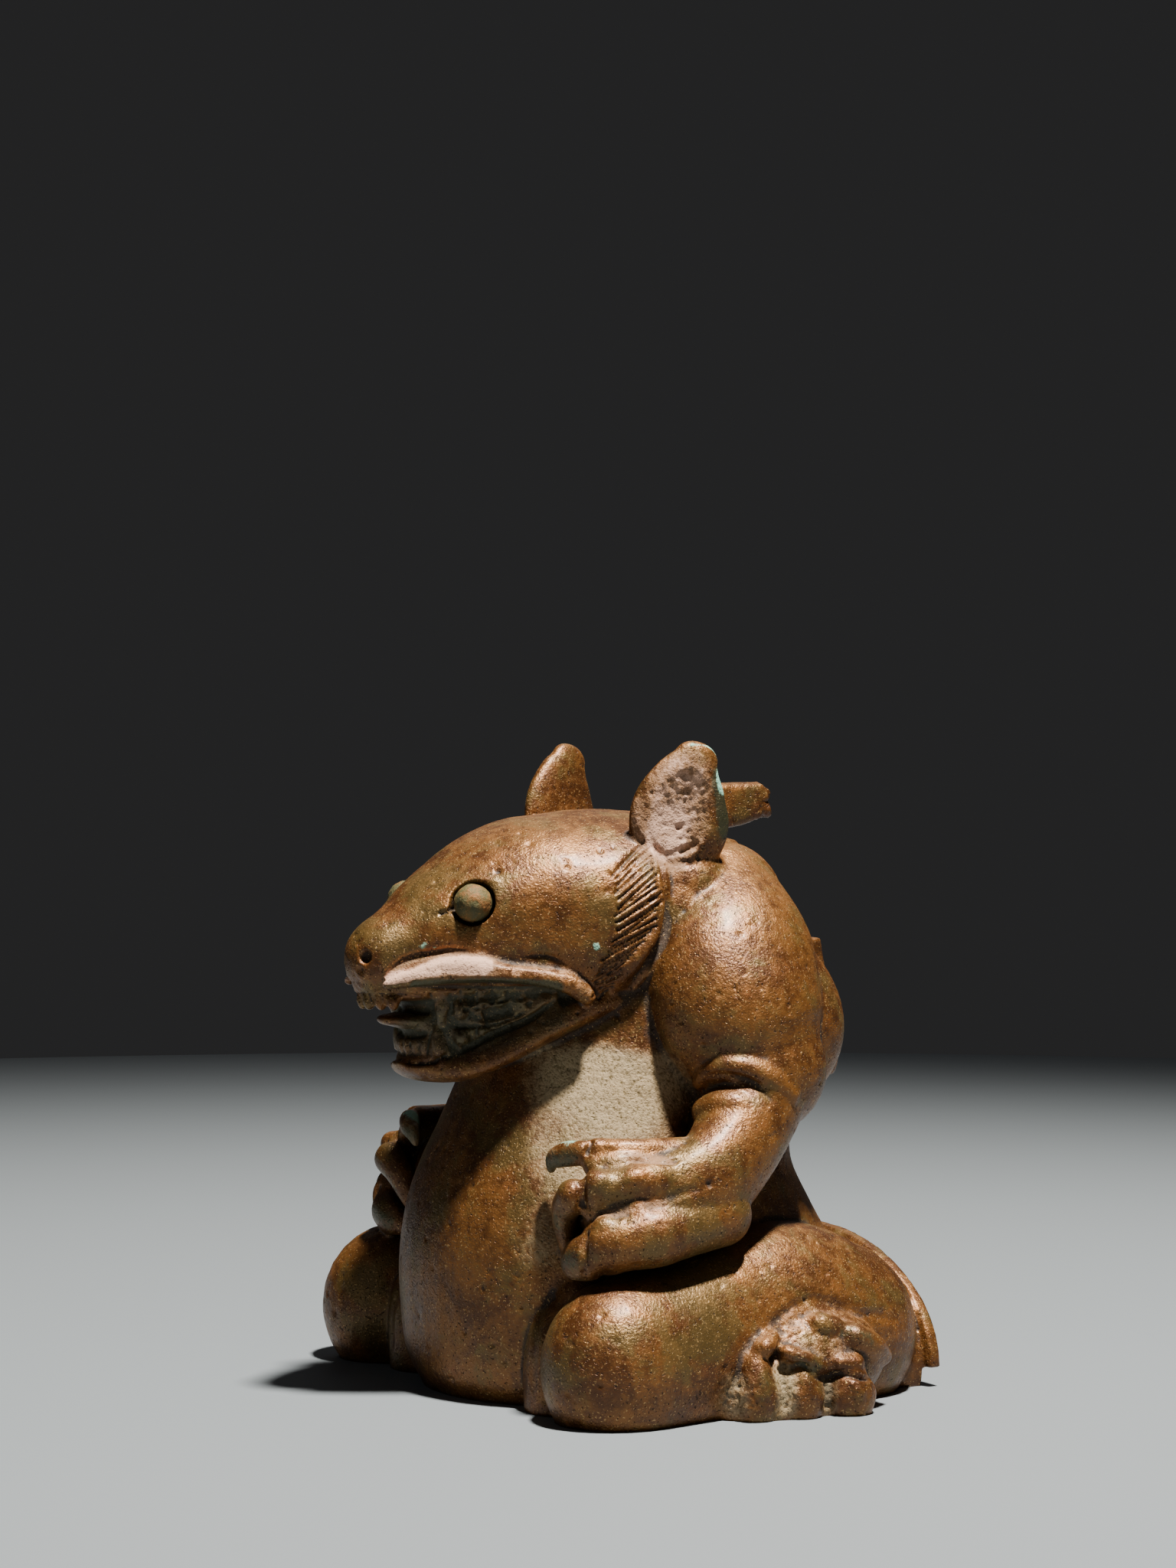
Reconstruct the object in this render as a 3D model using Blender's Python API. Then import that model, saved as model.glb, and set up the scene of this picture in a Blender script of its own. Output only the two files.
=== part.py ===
"""A small bronze bear, cast in one piece: it sits upright with its knees spread, its forepaws
pressed to its belly and its jaws open. The back carries the remains of a broken plate and peg.

The figure faces -Y, +X is its own left side, and it rests on the floor at Z = 0.
Its form is laid out in figure units: the height is FIGURE_UNITS of them.
"""

import math

import bmesh
import bpy
import numpy as np
from mathutils import Matrix, Vector

# Driving dimensions, in metres
HEIGHT = 0.125
EYE_DIAMETER = 0.0074
SOCKET_GAP = 0.0003
EYE_RING_WIDTH = 0.0005
NOSTRIL_DIAMETER = 0.0030
NOSTRIL_DEPTH = 0.0020
PEG_END = 0.0314
PEG_TOP = 0.1167
PEG_WIDTH = 0.0080
PEG_HEIGHT = 0.0089
PLATE_WIDTH = 0.0280
BACK_PLANE = 0.0463
RIM_HALF_WIDTH = 0.0410
RIM_HEIGHT = 0.0236
RIM_THICKNESS = 0.0026
RIM_FOOT = 0.0038

# The form is laid out in these units, which are millimetres on a figure of the real height
FIGURE_UNITS = 125.0
UNIT = HEIGHT / FIGURE_UNITS
CENTRE_Y = -7.29 * UNIT

# Places in those units, on the left side, and turns in degrees about X, Y and Z
EYE_CENTRE = (14.1, -41.7, 94.1)
EYE_TURN = (0, -10, -32)
NOSTRIL_CENTRE = (4.6, -60, 84)
RIGHT_KNEE_SHIFT = (-2, -2.6, 1)
EAR_TURN = (-14, 17, -16)
EAR_CUP_CENTRE = (27.8, -3.2, 111.4)
EAR_CUP_RADII = (3, 7.6, 11.6)

# Fineness of the surface, in metres and in counts
VOXEL = 0.0009
SMOOTH_PASSES = 3
KEPT_SHARE = 0.034
RING_POINTS = 32
DOME_STEPS = 5
STEPS_BETWEEN = 6


def through(rows, steps=STEPS_BETWEEN):
    """Rows of numbers, with steps - 1 more on a smooth curve between each two of them."""
    rows = np.array(rows, float)
    ends = np.vstack([2 * rows[0] - rows[1], rows, 2 * rows[-1] - rows[-2]])
    out = []
    for before, a, b, after in zip(ends, ends[1:], ends[2:], ends[3:]):
        for t in np.arange(steps) / steps:
            out.append(
                0.5
                * (
                    2 * a
                    + (b - before) * t
                    + (2 * before - 5 * a + 4 * b - after) * t**2
                    + (3 * a - before - 3 * b + after) * t**3
                )
            )
    return np.array(out + [rows[-1]])


def closed_skin(clay, rings, first_pole, last_pole, mirrored):
    """Adds one closed body to the clay: rings of points, closed by a pole at each end."""
    for side in (1, -1) if mirrored else (1,):
        flip = Matrix.Diagonal((side * UNIT, UNIT, UNIT))
        loops = [[clay.verts.new(flip @ Vector(p)) for p in ring] for ring in rings]
        faces = []
        for low, high in zip(loops, loops[1:]):
            for i, corner in enumerate(low):
                j = (i + 1) % len(low)
                faces.append(clay.faces.new((corner, low[j], high[j], high[i])))
        for pole, loop in ((first_pole, loops[0]), (last_pole, loops[-1])):
            tip = clay.verts.new(flip @ Vector(pole))
            for i, corner in enumerate(loop):
                faces.append(clay.faces.new((corner, loop[(i + 1) % len(loop)], tip)))
        bmesh.ops.recalc_face_normals(clay, faces=faces)


def level_body(clay, rows, low_pole, high_pole, power):
    """A body of level sections. A row is height, front, back, half-width."""
    rings = [
        section((0, (front + back) / 2, z), (half, 0, 0), (0, (back - front) / 2, 0), power)
        for z, front, back, half in through(rows)
    ]
    closed_skin(clay, rings, low_pole, high_pole, False)


def upright_body(clay, rows, front_pole, back_pole, power, low_power=None):
    """A body of upright sections, from front to back. A row is y, top, bottom, half-width."""
    rings = [
        section((0, y, (top + bottom) / 2), (half, 0, 0), (0, 0, (top - bottom) / 2), power, low_power)
        for y, top, bottom, half in through(rows)
    ]
    closed_skin(clay, rings, front_pole, back_pole, False)


def section(centre, across, along, power=2.0, low_power=None):
    """A ring of points round a centre, through the ends of two half-axes. A power over 2 squares it."""
    ring = []
    for k in range(RING_POINTS):
        turn = 2 * math.pi * k / RING_POINTS
        c, s = math.cos(turn), math.sin(turn)
        squared = low_power if low_power and s < 0 else power
        u = math.copysign(abs(c) ** (2 / squared), c)
        v = math.copysign(abs(s) ** (2 / squared), s)
        ring.append(Vector(centre) + u * Vector(across) + v * Vector(along))
    return ring


def ball(clay, centre, radii, turn=(0, 0, 0), mirrored=False):
    """An ellipsoid, turned by degrees about X, Y and Z in that order."""
    spin = Matrix.Identity(3)
    for axis, degrees in zip("XYZ", turn):
        spin = Matrix.Rotation(math.radians(degrees), 3, axis) @ spin
    rx, ry, rz = radii
    rings = []
    for k in range(1, 2 * DOME_STEPS):
        tilt = math.pi * k / (2 * DOME_STEPS) - math.pi / 2
        flat, rise = math.cos(tilt), math.sin(tilt)
        middle = Vector(centre) + spin @ Vector((0, 0, rz * rise))
        rings.append(section(middle, spin @ Vector((rx * flat, 0, 0)), spin @ Vector((0, ry * flat, 0))))
    top = spin @ Vector((0, 0, rz))
    closed_skin(clay, rings, Vector(centre) - top, Vector(centre) + top, mirrored)


def limb(clay, stations, up=(0, 0, 1), mirrored=True):
    """A limb with rounded ends along a smooth curve. A station is x, y, z, half-width, half-height."""
    rows = through(stations)
    points = [Vector(row[:3]) for row in rows]
    frames = []
    for k in range(len(points)):
        ahead = points[min(k + 1, len(points) - 1)] - points[max(k - 1, 0)]
        ahead.normalize()
        across = ahead.cross(Vector(up)).normalized()
        frames.append((ahead, across, across.cross(ahead)))

    def ring(k, share, shift):
        ahead, across, rise = frames[k]
        wide, high = rows[k][3], rows[k][4]
        centre = points[k] + ahead * shift
        return section(centre, across * wide * share, rise * high * share)

    def reach(k):
        return (rows[k][3] + rows[k][4]) / 2

    angles = [math.pi / 2 * k / DOME_STEPS for k in range(1, DOME_STEPS)]
    last = len(rows) - 1
    start = [ring(0, math.cos(a), -reach(0) * math.sin(a)) for a in reversed(angles)]
    middle = [ring(k, 1, 0) for k in range(len(rows))]
    end = [ring(last, math.cos(a), reach(last) * math.sin(a)) for a in angles]
    first_pole = points[0] - frames[0][0] * reach(0)
    last_pole = points[-1] + frames[-1][0] * reach(last)
    closed_skin(clay, start + middle + end, first_pole, last_pole, mirrored)


def torso(clay):
    """The trunk, as level sections: height, front, back, half-width."""
    rows = (
        (-6, -36, 42, 30),
        (0, -41, 44.5, 33.5),
        (6, -44, 44.5, 36.5),
        (14, -45, 43.5, 38.4),
        (24, -45.3, 41, 38.4),
        (34, -44, 35.4, 36.8),
        (43, -41, 31, 34),
        (51, -37.2, 32, 31.5),
        (60, -33.2, 38, 30.5),
        (68, -29.7, 40, 30),
        (77, -26.2, 38.5, 29.5),
        (86, -21, 33.6, 27.5),
        (94, -13, 29.8, 24),
        (101, -4, 24.8, 18.6),
        (105.5, 5, 21.4, 12.4),
    )
    level_body(clay, rows, (0, 0, -8), (0, 14, 107.5), 2.2)


def skull(clay):
    """The head without its lower jaw, as upright sections: y, top, bottom, half-width."""
    rows = (
        (-60.4, 86, 80.8, 3),
        (-59, 88.4, 79.2, 5.2),
        (-56.5, 90.6, 78.2, 7.4),
        (-52, 93.6, 78, 9.2),
        (-47.5, 97.6, 78, 12.6),
        (-42, 101.6, 78, 16.2),
        (-35, 106.2, 77, 20),
        (-27, 109.6, 74.5, 24),
        (-20, 110.6, 72.8, 26.8),
        (-14, 111.4, 73, 28.4),
        (-10, 111.6, 75, 28.7),
        (-7, 111.6, 79, 27.4),
        (-3, 111.4, 84, 23),
        (6, 110.6, 88, 18),
        (14, 108, 92, 13),
    )
    upright_body(clay, rows, (0, -61, 83.4), (0, 18, 100), 2.1, 3.6)


def jaw(clay):
    """The lower jaw, from its chin back to the throat: y, lip, underside, half-width."""
    rows = (
        (-50.8, 64.2, 62.8, 2.4),
        (-49.2, 64.4, 61.2, 5.4),
        (-45.4, 65, 59.8, 9.8),
        (-40, 66.8, 59.8, 14),
        (-34, 71, 62.2, 18.2),
        (-27, 76, 65.8, 21.6),
        (-19, 79, 69.6, 24),
        (-10, 81, 73.5, 24.4),
    )
    upright_body(clay, rows, (0, -51.4, 63.6), (0, -4, 77), 4, 2.2)


def mouth(clay):
    """The raised upper lip, and what shows between the open jaws."""
    lip = (
        (8.2, -56.8, 78.9, 1, 0.9),
        (11, -52.4, 80.2, 1.6, 1.7),
        (14.4, -46, 81.6, 2.2, 2.5),
        (17, -41, 81.5, 2.2, 2.2),
        (19.4, -36.5, 80.9, 2, 1.7),
        (21.6, -31, 80.2, 2, 1.8),
        (23.6, -26.5, 79, 2.1, 1.9),
        (24.6, -23, 76.6, 1.7, 1.7),
    )
    limb(clay, lip)
    upper_gum = (
        (-59, 81, 78.4, 2.6),
        (-57.4, 81, 76, 4.6),
        (-54.4, 81, 75.4, 7.2),
        (-50, 81, 75.4, 10.8),
        (-42, 81, 75.8, 14.8),
        (-34, 81, 76.2, 18.6),
        (-27, 81, 77, 21.6),
    )
    upright_body(clay, upper_gum, (0, -59.6, 79.8), (0, -24, 78.8), 2.6)
    lower_gum = (
        (-48.6, 66.4, 62, 3),
        (-47, 67.8, 62, 6.4),
        (-43, 68.8, 62, 10.2),
        (-37, 71.8, 64, 14.4),
        (-30, 75.4, 68, 18.4),
        (-25, 78, 72, 21),
    )
    upright_body(clay, lower_gum, (0, -49.2, 64), (0, -22, 75), 2.6)
    throat = (
        (-48, 77.4, 66, 5),
        (-46.4, 78, 65.8, 8.4),
        (-43.4, 79, 65.8, 11.4),
        (-40, 79, 66.4, 13.6),
        (-34, 80, 68, 17.2),
        (-27, 80, 71, 21),
    )
    upright_body(clay, throat, (0, -48.8, 72), (0, -24, 75), 3)
    limb(clay, ((0, -42, 70.8, 6, 2.6), (0, -48, 71.2, 5, 2.2), (0, -51.8, 71.6, 2.6, 1.2)), mirrored=False)
    for side_x, front_y, root_z, tip_z, radius in ((10.2, -46.2, 77, 71.4, 1.5), (8.2, -46.2, 65.4, 72.6, 1.4)):
        middle_z = (root_z + tip_z) / 2
        canine = (
            (side_x - 0.8, front_y, root_z, radius, radius),
            (side_x, front_y - 0.4, middle_z, radius * 0.9, radius * 0.9),
            (side_x, front_y - 0.4, tip_z, radius * 0.45, radius * 0.45),
        )
        limb(clay, canine, up=(0, 1, 0))
    for k in range(4):
        y = -44.5 + 4.2 * k
        ball(clay, (11.8 + 2.2 * k, y, 75.2 + 0.3 * k), (1.5, 2, 1.8), mirrored=True)
        ball(clay, (11.2 + 2.2 * k, y, 70 + 1.5 * k), (1.5, 2, 1.8), mirrored=True)
    for k in range(3):
        ball(clay, (1.4 + 2.3 * k, -57 + 1.1 * k, 75.8), (1.4, 1.4, 1.9), mirrored=True)
        ball(clay, (1.2 + 2.2 * k, -48.4 + 0.8 * k, 67.4), (1.2, 1.2, 1.8), mirrored=True)


def ears(clay):
    """Upright leaf-shaped ears that lean outwards and back. Their hollows are cut later."""
    leaf = (
        (21.6, -1.6, 100, 3.8, 8.6),
        (23, -2.2, 106, 3.5, 9.8),
        (24.6, -2.6, 112, 3.1, 9.7),
        (26.4, -1.8, 117.6, 2.8, 7.3),
        (27.6, -0.8, 121.4, 2.3, 4.5),
    )
    limb(clay, leaf, up=(0.29, 0.957, 0))


def arms(clay):
    """Upper arm, two skin folds at the elbow, and forearm."""
    upper = (
        (15.8, 11.6, 93.6, 11.8, 12.4),
        (24.4, 8.8, 84.8, 13.8, 16.4),
        (28.2, 6.2, 76, 15.5, 18.2),
        (30.8, 6.4, 68, 15, 17.8),
        (33, 9.4, 62.4, 12.4, 13.2),
    )
    limb(clay, upper, up=(0, 1, 0))
    neck_side = (
        (9, -1, 98, 10.6, 9),
        (16.4, -1.4, 91, 11, 9.8),
        (19, -2.2, 83, 10, 9.4),
        (20.6, -3.4, 76, 8.6, 8.4),
        (22.4, -3, 68, 7, 7.4),
    )
    limb(clay, neck_side, up=(0, 1, 0))
    fore = (
        (34, 8.4, 60.4, 11.5, 11.4),
        (37.2, 4.6, 54.4, 9.8, 9.4),
        (40.6, -1, 48, 8.4, 9),
        (43, -7.4, 43, 7.6, 9.2),
        (43.5, -14, 40, 6.4, 9.2),
    )
    limb(clay, fore)
    upper_fold = (
        (30.6, -2.4, 60.4, 1.4, 1.2),
        (36.4, -3.2, 62.6, 2.4, 1.8),
        (42, -0.6, 63.4, 2.8, 2),
        (45.2, 4.6, 62.4, 2.3, 1.7),
        (45.4, 9.4, 60.4, 1.4, 1.2),
    )
    limb(clay, upper_fold)
    lower_fold = (
        (32.4, -2.4, 57, 1.6, 1.3),
        (38.4, -2.9, 58.6, 2.1, 1.6),
        (43, 0.8, 58.6, 2.2, 1.6),
        (44.8, 5.4, 56.8, 1.5, 1.3),
    )
    limb(clay, lower_fold)


def paws(clay):
    """Thumb and two fingers, bent at the last knuckle so that their claws meet the belly."""
    thumb = ((41.2, -12, 48.2, 3.2, 3), (40.4, -20.6, 49.1, 2.4, 2.1), (37.2, -28, 49.4, 2.3, 2.1))
    web = ((41, -8, 45.2, 5.4, 4.6), (40.4, -17, 45.4, 4.4, 4), (38.4, -25, 45.6, 3.4, 3.4))
    second = (
        (44.5, -8, 45, 3.6, 3.4),
        (44.8, -16, 44.3, 3.5, 3.3),
        (44.4, -21.5, 43.6, 4, 3.9),
        (42.8, -27, 42.8, 3.5, 3.5),
        (40, -32.2, 41.9, 3.8, 4.1),
    )
    third = (
        (45, -6, 37, 5, 6.2),
        (45.6, -15, 35.2, 4.8, 5.4),
        (45.4, -21, 34.4, 5.3, 5.7),
        (44, -26.5, 33.4, 4.7, 5),
        (41.6, -31.6, 32.4, 4.6, 5.3),
    )
    thumb_claw = ((34.6, -30.6, 49, 1.7, 1.3), (28.6, -32.6, 48.4, 1, 1))
    second_claw = (
        (38, -33.4, 41, 3.2, 3.4),
        (34, -33, 38, 2.6, 2.9),
        (31.6, -31.4, 33, 2, 2.2),
        (30, -29.8, 28.6, 1, 1.2),
    )
    third_claw = ((39, -32.6, 32.4, 3.8, 4.4), (35.4, -32, 30.8, 2.4, 2.8), (31, -30.4, 29, 1, 1))
    for stations in (thumb, web, second, third, thumb_claw, second_claw, third_claw):
        limb(clay, stations)
    ball(clay, (34, -17, 38), (8.6, 13, 9), mirrored=True)


def legs(clay):
    """Thighs folded forwards, wide at the haunch, with the knee in front. The right knee is farther out."""
    leg = (
        (42.5, -26, 9.5, 14, 16.5),
        (41, -16, 10.5, 13.6, 17),
        (39, -4, 12, 13.4, 18.6),
        (36.5, 8, 13, 15.4, 20.4),
        (33.4, 17.4, 12.6, 17.2, 20),
        (30.6, 26, 11, 17.8, 18),
    )
    limb(clay, leg, mirrored=False)
    reach = np.array(RIGHT_KNEE_SHIFT)
    shares = [(leg[-1][1] - row[1]) / (leg[-1][1] - leg[0][1]) for row in leg]
    right_leg = [(*(np.array((-x, y, z)) + share * reach), w, h) for share, (x, y, z, w, h) in zip(shares, leg)]
    limb(clay, right_leg, mirrored=False)
    groin = ((28, -27, -8, 9, 9.4), (28.4, -27.4, 4, 9.6, 10), (28.8, -27.2, 13, 9, 9.6), (29.4, -25.4, 19, 7, 7.6))
    limb(clay, groin, up=(0, 1, 0))


def feet(clay):
    """A foot beside each haunch: its three toes point out and down to the floor."""
    ball(clay, (46, 10, 9), (11, 17, 10.5), turn=(0, 0, -14), mirrored=True)
    ball(clay, (50.6, 5, 3), (6.8, 14, 8.6), mirrored=True)
    for y, knuckle_z, width, reach in ((-3.6, 12.4, 3.7, 57.2), (4.4, 10.6, 4.3, 58.2), (14.8, 9.4, 5.2, 58.8)):
        toe = (
            (reach - 7, y + 1.5, knuckle_z + 1, width * 0.8, width * 0.7),
            (reach - 2.6, y, knuckle_z - 1, width * 0.9, width * 0.8),
            (reach - 2.2, y, 3.4, width, width * 0.8),
        )
        limb(clay, toe, up=(0, 1, 0))
    for x, y, z, radius in ((52, -0.4, 14.2, 2.8), (53.5, 6.6, 12, 3.4), (53, 12.6, 15.6, 3.6), (54.6, 19, 12.4, 4.2)):
        ball(clay, (x, y, z), (radius, radius * 1.2, radius * 0.9), mirrored=True)


def back(clay):
    """On the back: a stump of a plate, a stump of a peg, and a thin rim behind the rump."""
    half = PLATE_WIDTH / UNIT / 2
    plate = (
        (58.6, 20, 41, half),
        (61, 20, 42, half),
        (66, 20, 42.4, half),
        (74, 20, 40.6, half),
        (80, 20, 39, half),
        (86, 20, 37.8, half),
    )
    level_body(clay, plate, (0, 28, 58.6), (0, 28, 86), 7)
    wide, high, end = (v / UNIT for v in (PEG_WIDTH, PEG_HEIGHT, PEG_END))
    top = PEG_TOP / UNIT
    peg = (
        (5, top - 0.3, top - 1.2 * high, wide / 2),
        (end - 9, top, top - high, wide / 2),
        (end - 2.4, top, top - 0.8 * high, wide / 2),
        (end, top - 2, top - 0.72 * high, wide * 0.42),
    )
    upright_body(clay, peg, (0, 4, top - high / 2), (0, end + 0.3, top - 0.5 * high), 6)
    wide, high, thick, face = (v / UNIT for v in (RIM_HALF_WIDTH, RIM_HEIGHT, RIM_THICKNESS, BACK_PLANE))
    rings = [section((0, y, 4), (wide, 0, 0), (0, 0, high)) for y in (face - thick, face - thick / 2, face)]
    closed_skin(clay, rings, (0, face - thick, 4), (0, face, 4), False)
    rump = ((14, 0.72), (24, 0.86), (33, 0.92), (40, 0.95), (face - thick - 0.3, 0.95))
    rings = [section((0, y, 4), (wide * share, 0, 0), (0, 0, high * share)) for y, share in rump]
    closed_skin(clay, rings, (0, 10, 4), (0, face - thick, 4), False)


def solid(name, parts, materials):
    """One named object made of overlapping closed bodies."""
    clay = bmesh.new()
    for part in parts:
        part(clay)
    mesh = bpy.data.meshes.new(name)
    clay.to_mesh(mesh)
    clay.free()
    obj = bpy.data.objects.new(name, mesh)
    obj.location = (0, -CENTRE_Y, 0)
    bpy.context.scene.collection.objects.link(obj)
    for material in materials:
        mesh.materials.append(material)
    return obj


def hollows(clay):
    """What is cut away at the end: eye sockets, nostrils and ear cups."""
    away = (EYE_DIAMETER / 2 + SOCKET_GAP) / UNIT
    wide = away + EYE_RING_WIDTH / UNIT
    spin = EYE_TURN
    ball(clay, EYE_CENTRE, (away, wide, wide), turn=spin, mirrored=True)
    nostril, deep = NOSTRIL_DIAMETER / UNIT / 2, NOSTRIL_DEPTH / UNIT
    ball(clay, NOSTRIL_CENTRE, (deep, nostril, nostril), turn=(0, 0, -60), mirrored=True)
    ball(clay, EAR_CUP_CENTRE, EAR_CUP_RADII, turn=EAR_TURN, mirrored=True)


def slab(clay, low, high):
    """A box between two corners."""
    size = Vector(high) - Vector(low)
    middle = (Vector(high) + Vector(low)) / 2
    place = Matrix.Translation(middle * UNIT) @ Matrix.Diagonal((*(size * UNIT), 1))
    bmesh.ops.create_cube(clay, size=1, matrix=place)


def floor_space(clay):
    slab(clay, (-90, -90, -40), (90, 90, 0))


def rim_space(clay):
    """The room under the rim, which ends above the floor."""
    face, thick = BACK_PLANE / UNIT, RIM_THICKNESS / UNIT
    slab(clay, (-70, face - thick - 0.4, -30), (70, face + 20, RIM_FOOT / UNIT))


def beads(clay):
    radius = EYE_DIAMETER / UNIT / 2
    ball(clay, EYE_CENTRE, (radius, radius, radius), mirrored=False)


def shade(name, colour, metallic, roughness):
    material = bpy.data.materials.new(name)
    material.use_nodes = True
    shader = material.node_tree.nodes["Principled BSDF"]
    shader.inputs["Base Color"].default_value = (*colour, 1)
    shader.inputs["Metallic"].default_value = metallic
    shader.inputs["Roughness"].default_value = roughness
    return material


def cut(body, cutter, name):
    """Takes the cutter's volume out of the body."""
    cutter.hide_render = True
    cutter.display_type = "WIRE"
    modifier = body.modifiers.new(name, "BOOLEAN")
    modifier.operation = "DIFFERENCE"
    modifier.solver = "EXACT"
    modifier.object = cutter


def main():
    for obj in list(bpy.data.objects):
        bpy.data.objects.remove(obj)
    bronze = shade("patinated bronze", (0.22, 0.11, 0.045), 0.6, 0.45)
    green = shade("green eye bead", (0.13, 0.12, 0.05), 0.4, 0.5)
    forms = (torso, skull, jaw, mouth, ears, arms, paws, legs, feet, back)
    bear = solid("bear", forms, (bronze,))
    remesh = bear.modifiers.new("one skin", "REMESH")
    remesh.mode = "VOXEL"
    remesh.voxel_size = VOXEL
    remesh.use_smooth_shade = True
    smooth = bear.modifiers.new("soften", "SMOOTH")
    smooth.factor = 0.5
    smooth.iterations = SMOOTH_PASSES
    reduce = bear.modifiers.new("facets", "DECIMATE")
    reduce.ratio = KEPT_SHARE
    cut(bear, solid("hollows", (hollows,), ()), "hollows")
    cut(bear, solid("rim_space", (rim_space,), ()), "rim foot")
    cut(bear, solid("floor_space", (floor_space,), ()), "flat foot")
    for side, name in ((1, "eye_left"), (-1, "eye_right")):
        eye = solid(name, (beads,), (green,))
        eye.data.transform(Matrix.Diagonal((side, 1, 1, 1)))
        if side < 0:
            eye.data.flip_normals()
        eye.data.shade_smooth()


main()
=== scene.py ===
"""A small cast bronze bear, seated upright with open jaws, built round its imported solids.

The skin is shaped like the solid but finer: closed bodies are joined into one skin, hollows are cut,
and the chased fur, wrinkles, teeth, claws and casting pits are worked into it. Lengths in the tables
are figure units, which are millimetres from the figure's own axis. The bear faces -Y and +X is its left.
"""

import math

import bmesh
import bpy
import numpy as np
from bpy.props import FloatProperty, FloatVectorProperty, IntProperty, PointerProperty
from mathutils import Matrix, Vector, noise
from mathutils.kdtree import KDTree


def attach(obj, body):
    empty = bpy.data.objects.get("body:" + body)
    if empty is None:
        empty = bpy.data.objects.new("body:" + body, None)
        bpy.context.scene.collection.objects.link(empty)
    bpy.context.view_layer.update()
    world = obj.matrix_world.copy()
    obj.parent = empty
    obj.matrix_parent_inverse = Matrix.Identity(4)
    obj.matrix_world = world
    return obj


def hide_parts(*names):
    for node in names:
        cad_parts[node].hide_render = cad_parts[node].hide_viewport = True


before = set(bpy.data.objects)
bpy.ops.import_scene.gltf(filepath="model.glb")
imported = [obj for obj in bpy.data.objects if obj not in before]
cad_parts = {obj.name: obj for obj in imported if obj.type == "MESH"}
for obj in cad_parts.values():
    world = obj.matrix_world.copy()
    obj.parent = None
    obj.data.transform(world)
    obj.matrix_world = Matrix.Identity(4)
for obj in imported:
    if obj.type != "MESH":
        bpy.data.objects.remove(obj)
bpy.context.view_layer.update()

bl_info = {
    "name": "Small seated bronze bear",
    "version": (1, 0, 0),
    "blender": (4, 5, 0),
    "location": "3D View > Sidebar > Bronze Bear",
    "description": "Builds the cast bear figure, its two eye beads and the stage that it stands on",
    "category": "Object",
}

# a figure unit in metres, and how far behind the scene's origin the figure's own axis stands
UNIT = 0.001
FIGURE_AXIS_Y = 7.29

# single features, in figure units and degrees
EYE_DIAMETER = 7.4
SOCKET_GAP = 0.3
EYE_RING_WIDTH = 0.5
BEAD_SINK = 0.06
EYE_CENTRE = (14.1, -41.7, 94.1)
EYE_TURN = (0, -10, -32)
NOSTRIL_DIAMETER = 3.0
NOSTRIL_DEPTH = 2.0
NOSTRIL_CENTRE = (4.6, -60, 84)
RIGHT_KNEE_SHIFT = (-2, -2.6, 1)
EAR_TURN = (-14, 4, -16)
EAR_CUP_CENTRE = (27.2, -3.4, 112)
EAR_CUP_RADII = (2.2, 8, 10)
PEG_END = 31.4
PEG_TOP = 116.7
PEG_WIDTH = 8.0
PEG_HEIGHT = 8.9
PLATE_HALF_WIDTH = 14.0
BACK_PLANE = 46.3
RIM_HALF_WIDTH = 41.0
RIM_HEIGHT = 23.6
RIM_THICKNESS = 2.6
RIM_FOOT = 3.8
RIM_SHARE = 0.95

# the camera's lens, and how far it turns aside to frame the figure
LENS = 81.58
SENSOR_WIDTH = 36
SIDE_TURN = 0.0112
# lights: bearing off the figure's front and height, degrees; distance, metres; power; colour
KEY_LIGHT = (98, 74, 1.1, 235, (1.0, 0.95, 0.87))
FRONT_FILL = (10, 30, 1.2, 0.45, (0.9, 0.95, 1.0))
BACK_FILL = (235, 35, 1.3, 0.6, (1.0, 1.0, 1.0))
KEY_SPREAD = math.radians(66)
KEY_RADIUS = 0.05
FILL_SIZE = 0.9
LIGHTS_AIM = Vector((0, 0, 0.06))

# a bead's waves: their size and height
BEAD_WAVES = ((1.6, 0.12), (0.6, 0.05))
# the casting's waves: their share of the height, their size and their seed
WAVES = ((1.0, 9.0, 1), (0.45, 3.0, 2), (0.3, 1.5, 3))
PIT_RADII = (0.5, 0.85)
PIT_DEPTHS = (0.1, 0.32)
PIT_SEED = 5
FIRST_GRAIN_SEED = 10
# skin this near the floor that faces down is set flat on it
FLOOR_REACH = 0.45
FACING_DOWN = -0.3

# how many swellings of each noise go to a metre
BROAD, PATCHES, STREAKS, SPECKLE, PORES, DUST = 70, 130, 420, 1350, 1700, 2300
BUMP_HEIGHT = 0.0003

RING_POINTS = 48
DOME_STEPS = 7
STEPS_BETWEEN = 6
LINE_STEPS = 4
SMOOTH_PASSES = 2


def through(rows, steps=STEPS_BETWEEN):
    """Rows of numbers, with steps - 1 more on a smooth curve between each two of them."""
    rows = np.array(rows, float)
    ends = np.vstack([2 * rows[0] - rows[1], rows, 2 * rows[-1] - rows[-2]])
    out = []
    for before, a, b, after in zip(ends, ends[1:], ends[2:], ends[3:]):
        slope, bend, twist = b - before, 2 * before - 5 * a + 4 * b - after, 3 * a - before - 3 * b + after
        for t in np.arange(steps) / steps:
            out.append(0.5 * (2 * a + slope * t + bend * t**2 + twist * t**3))
    return np.array(out + [rows[-1]])


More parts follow.
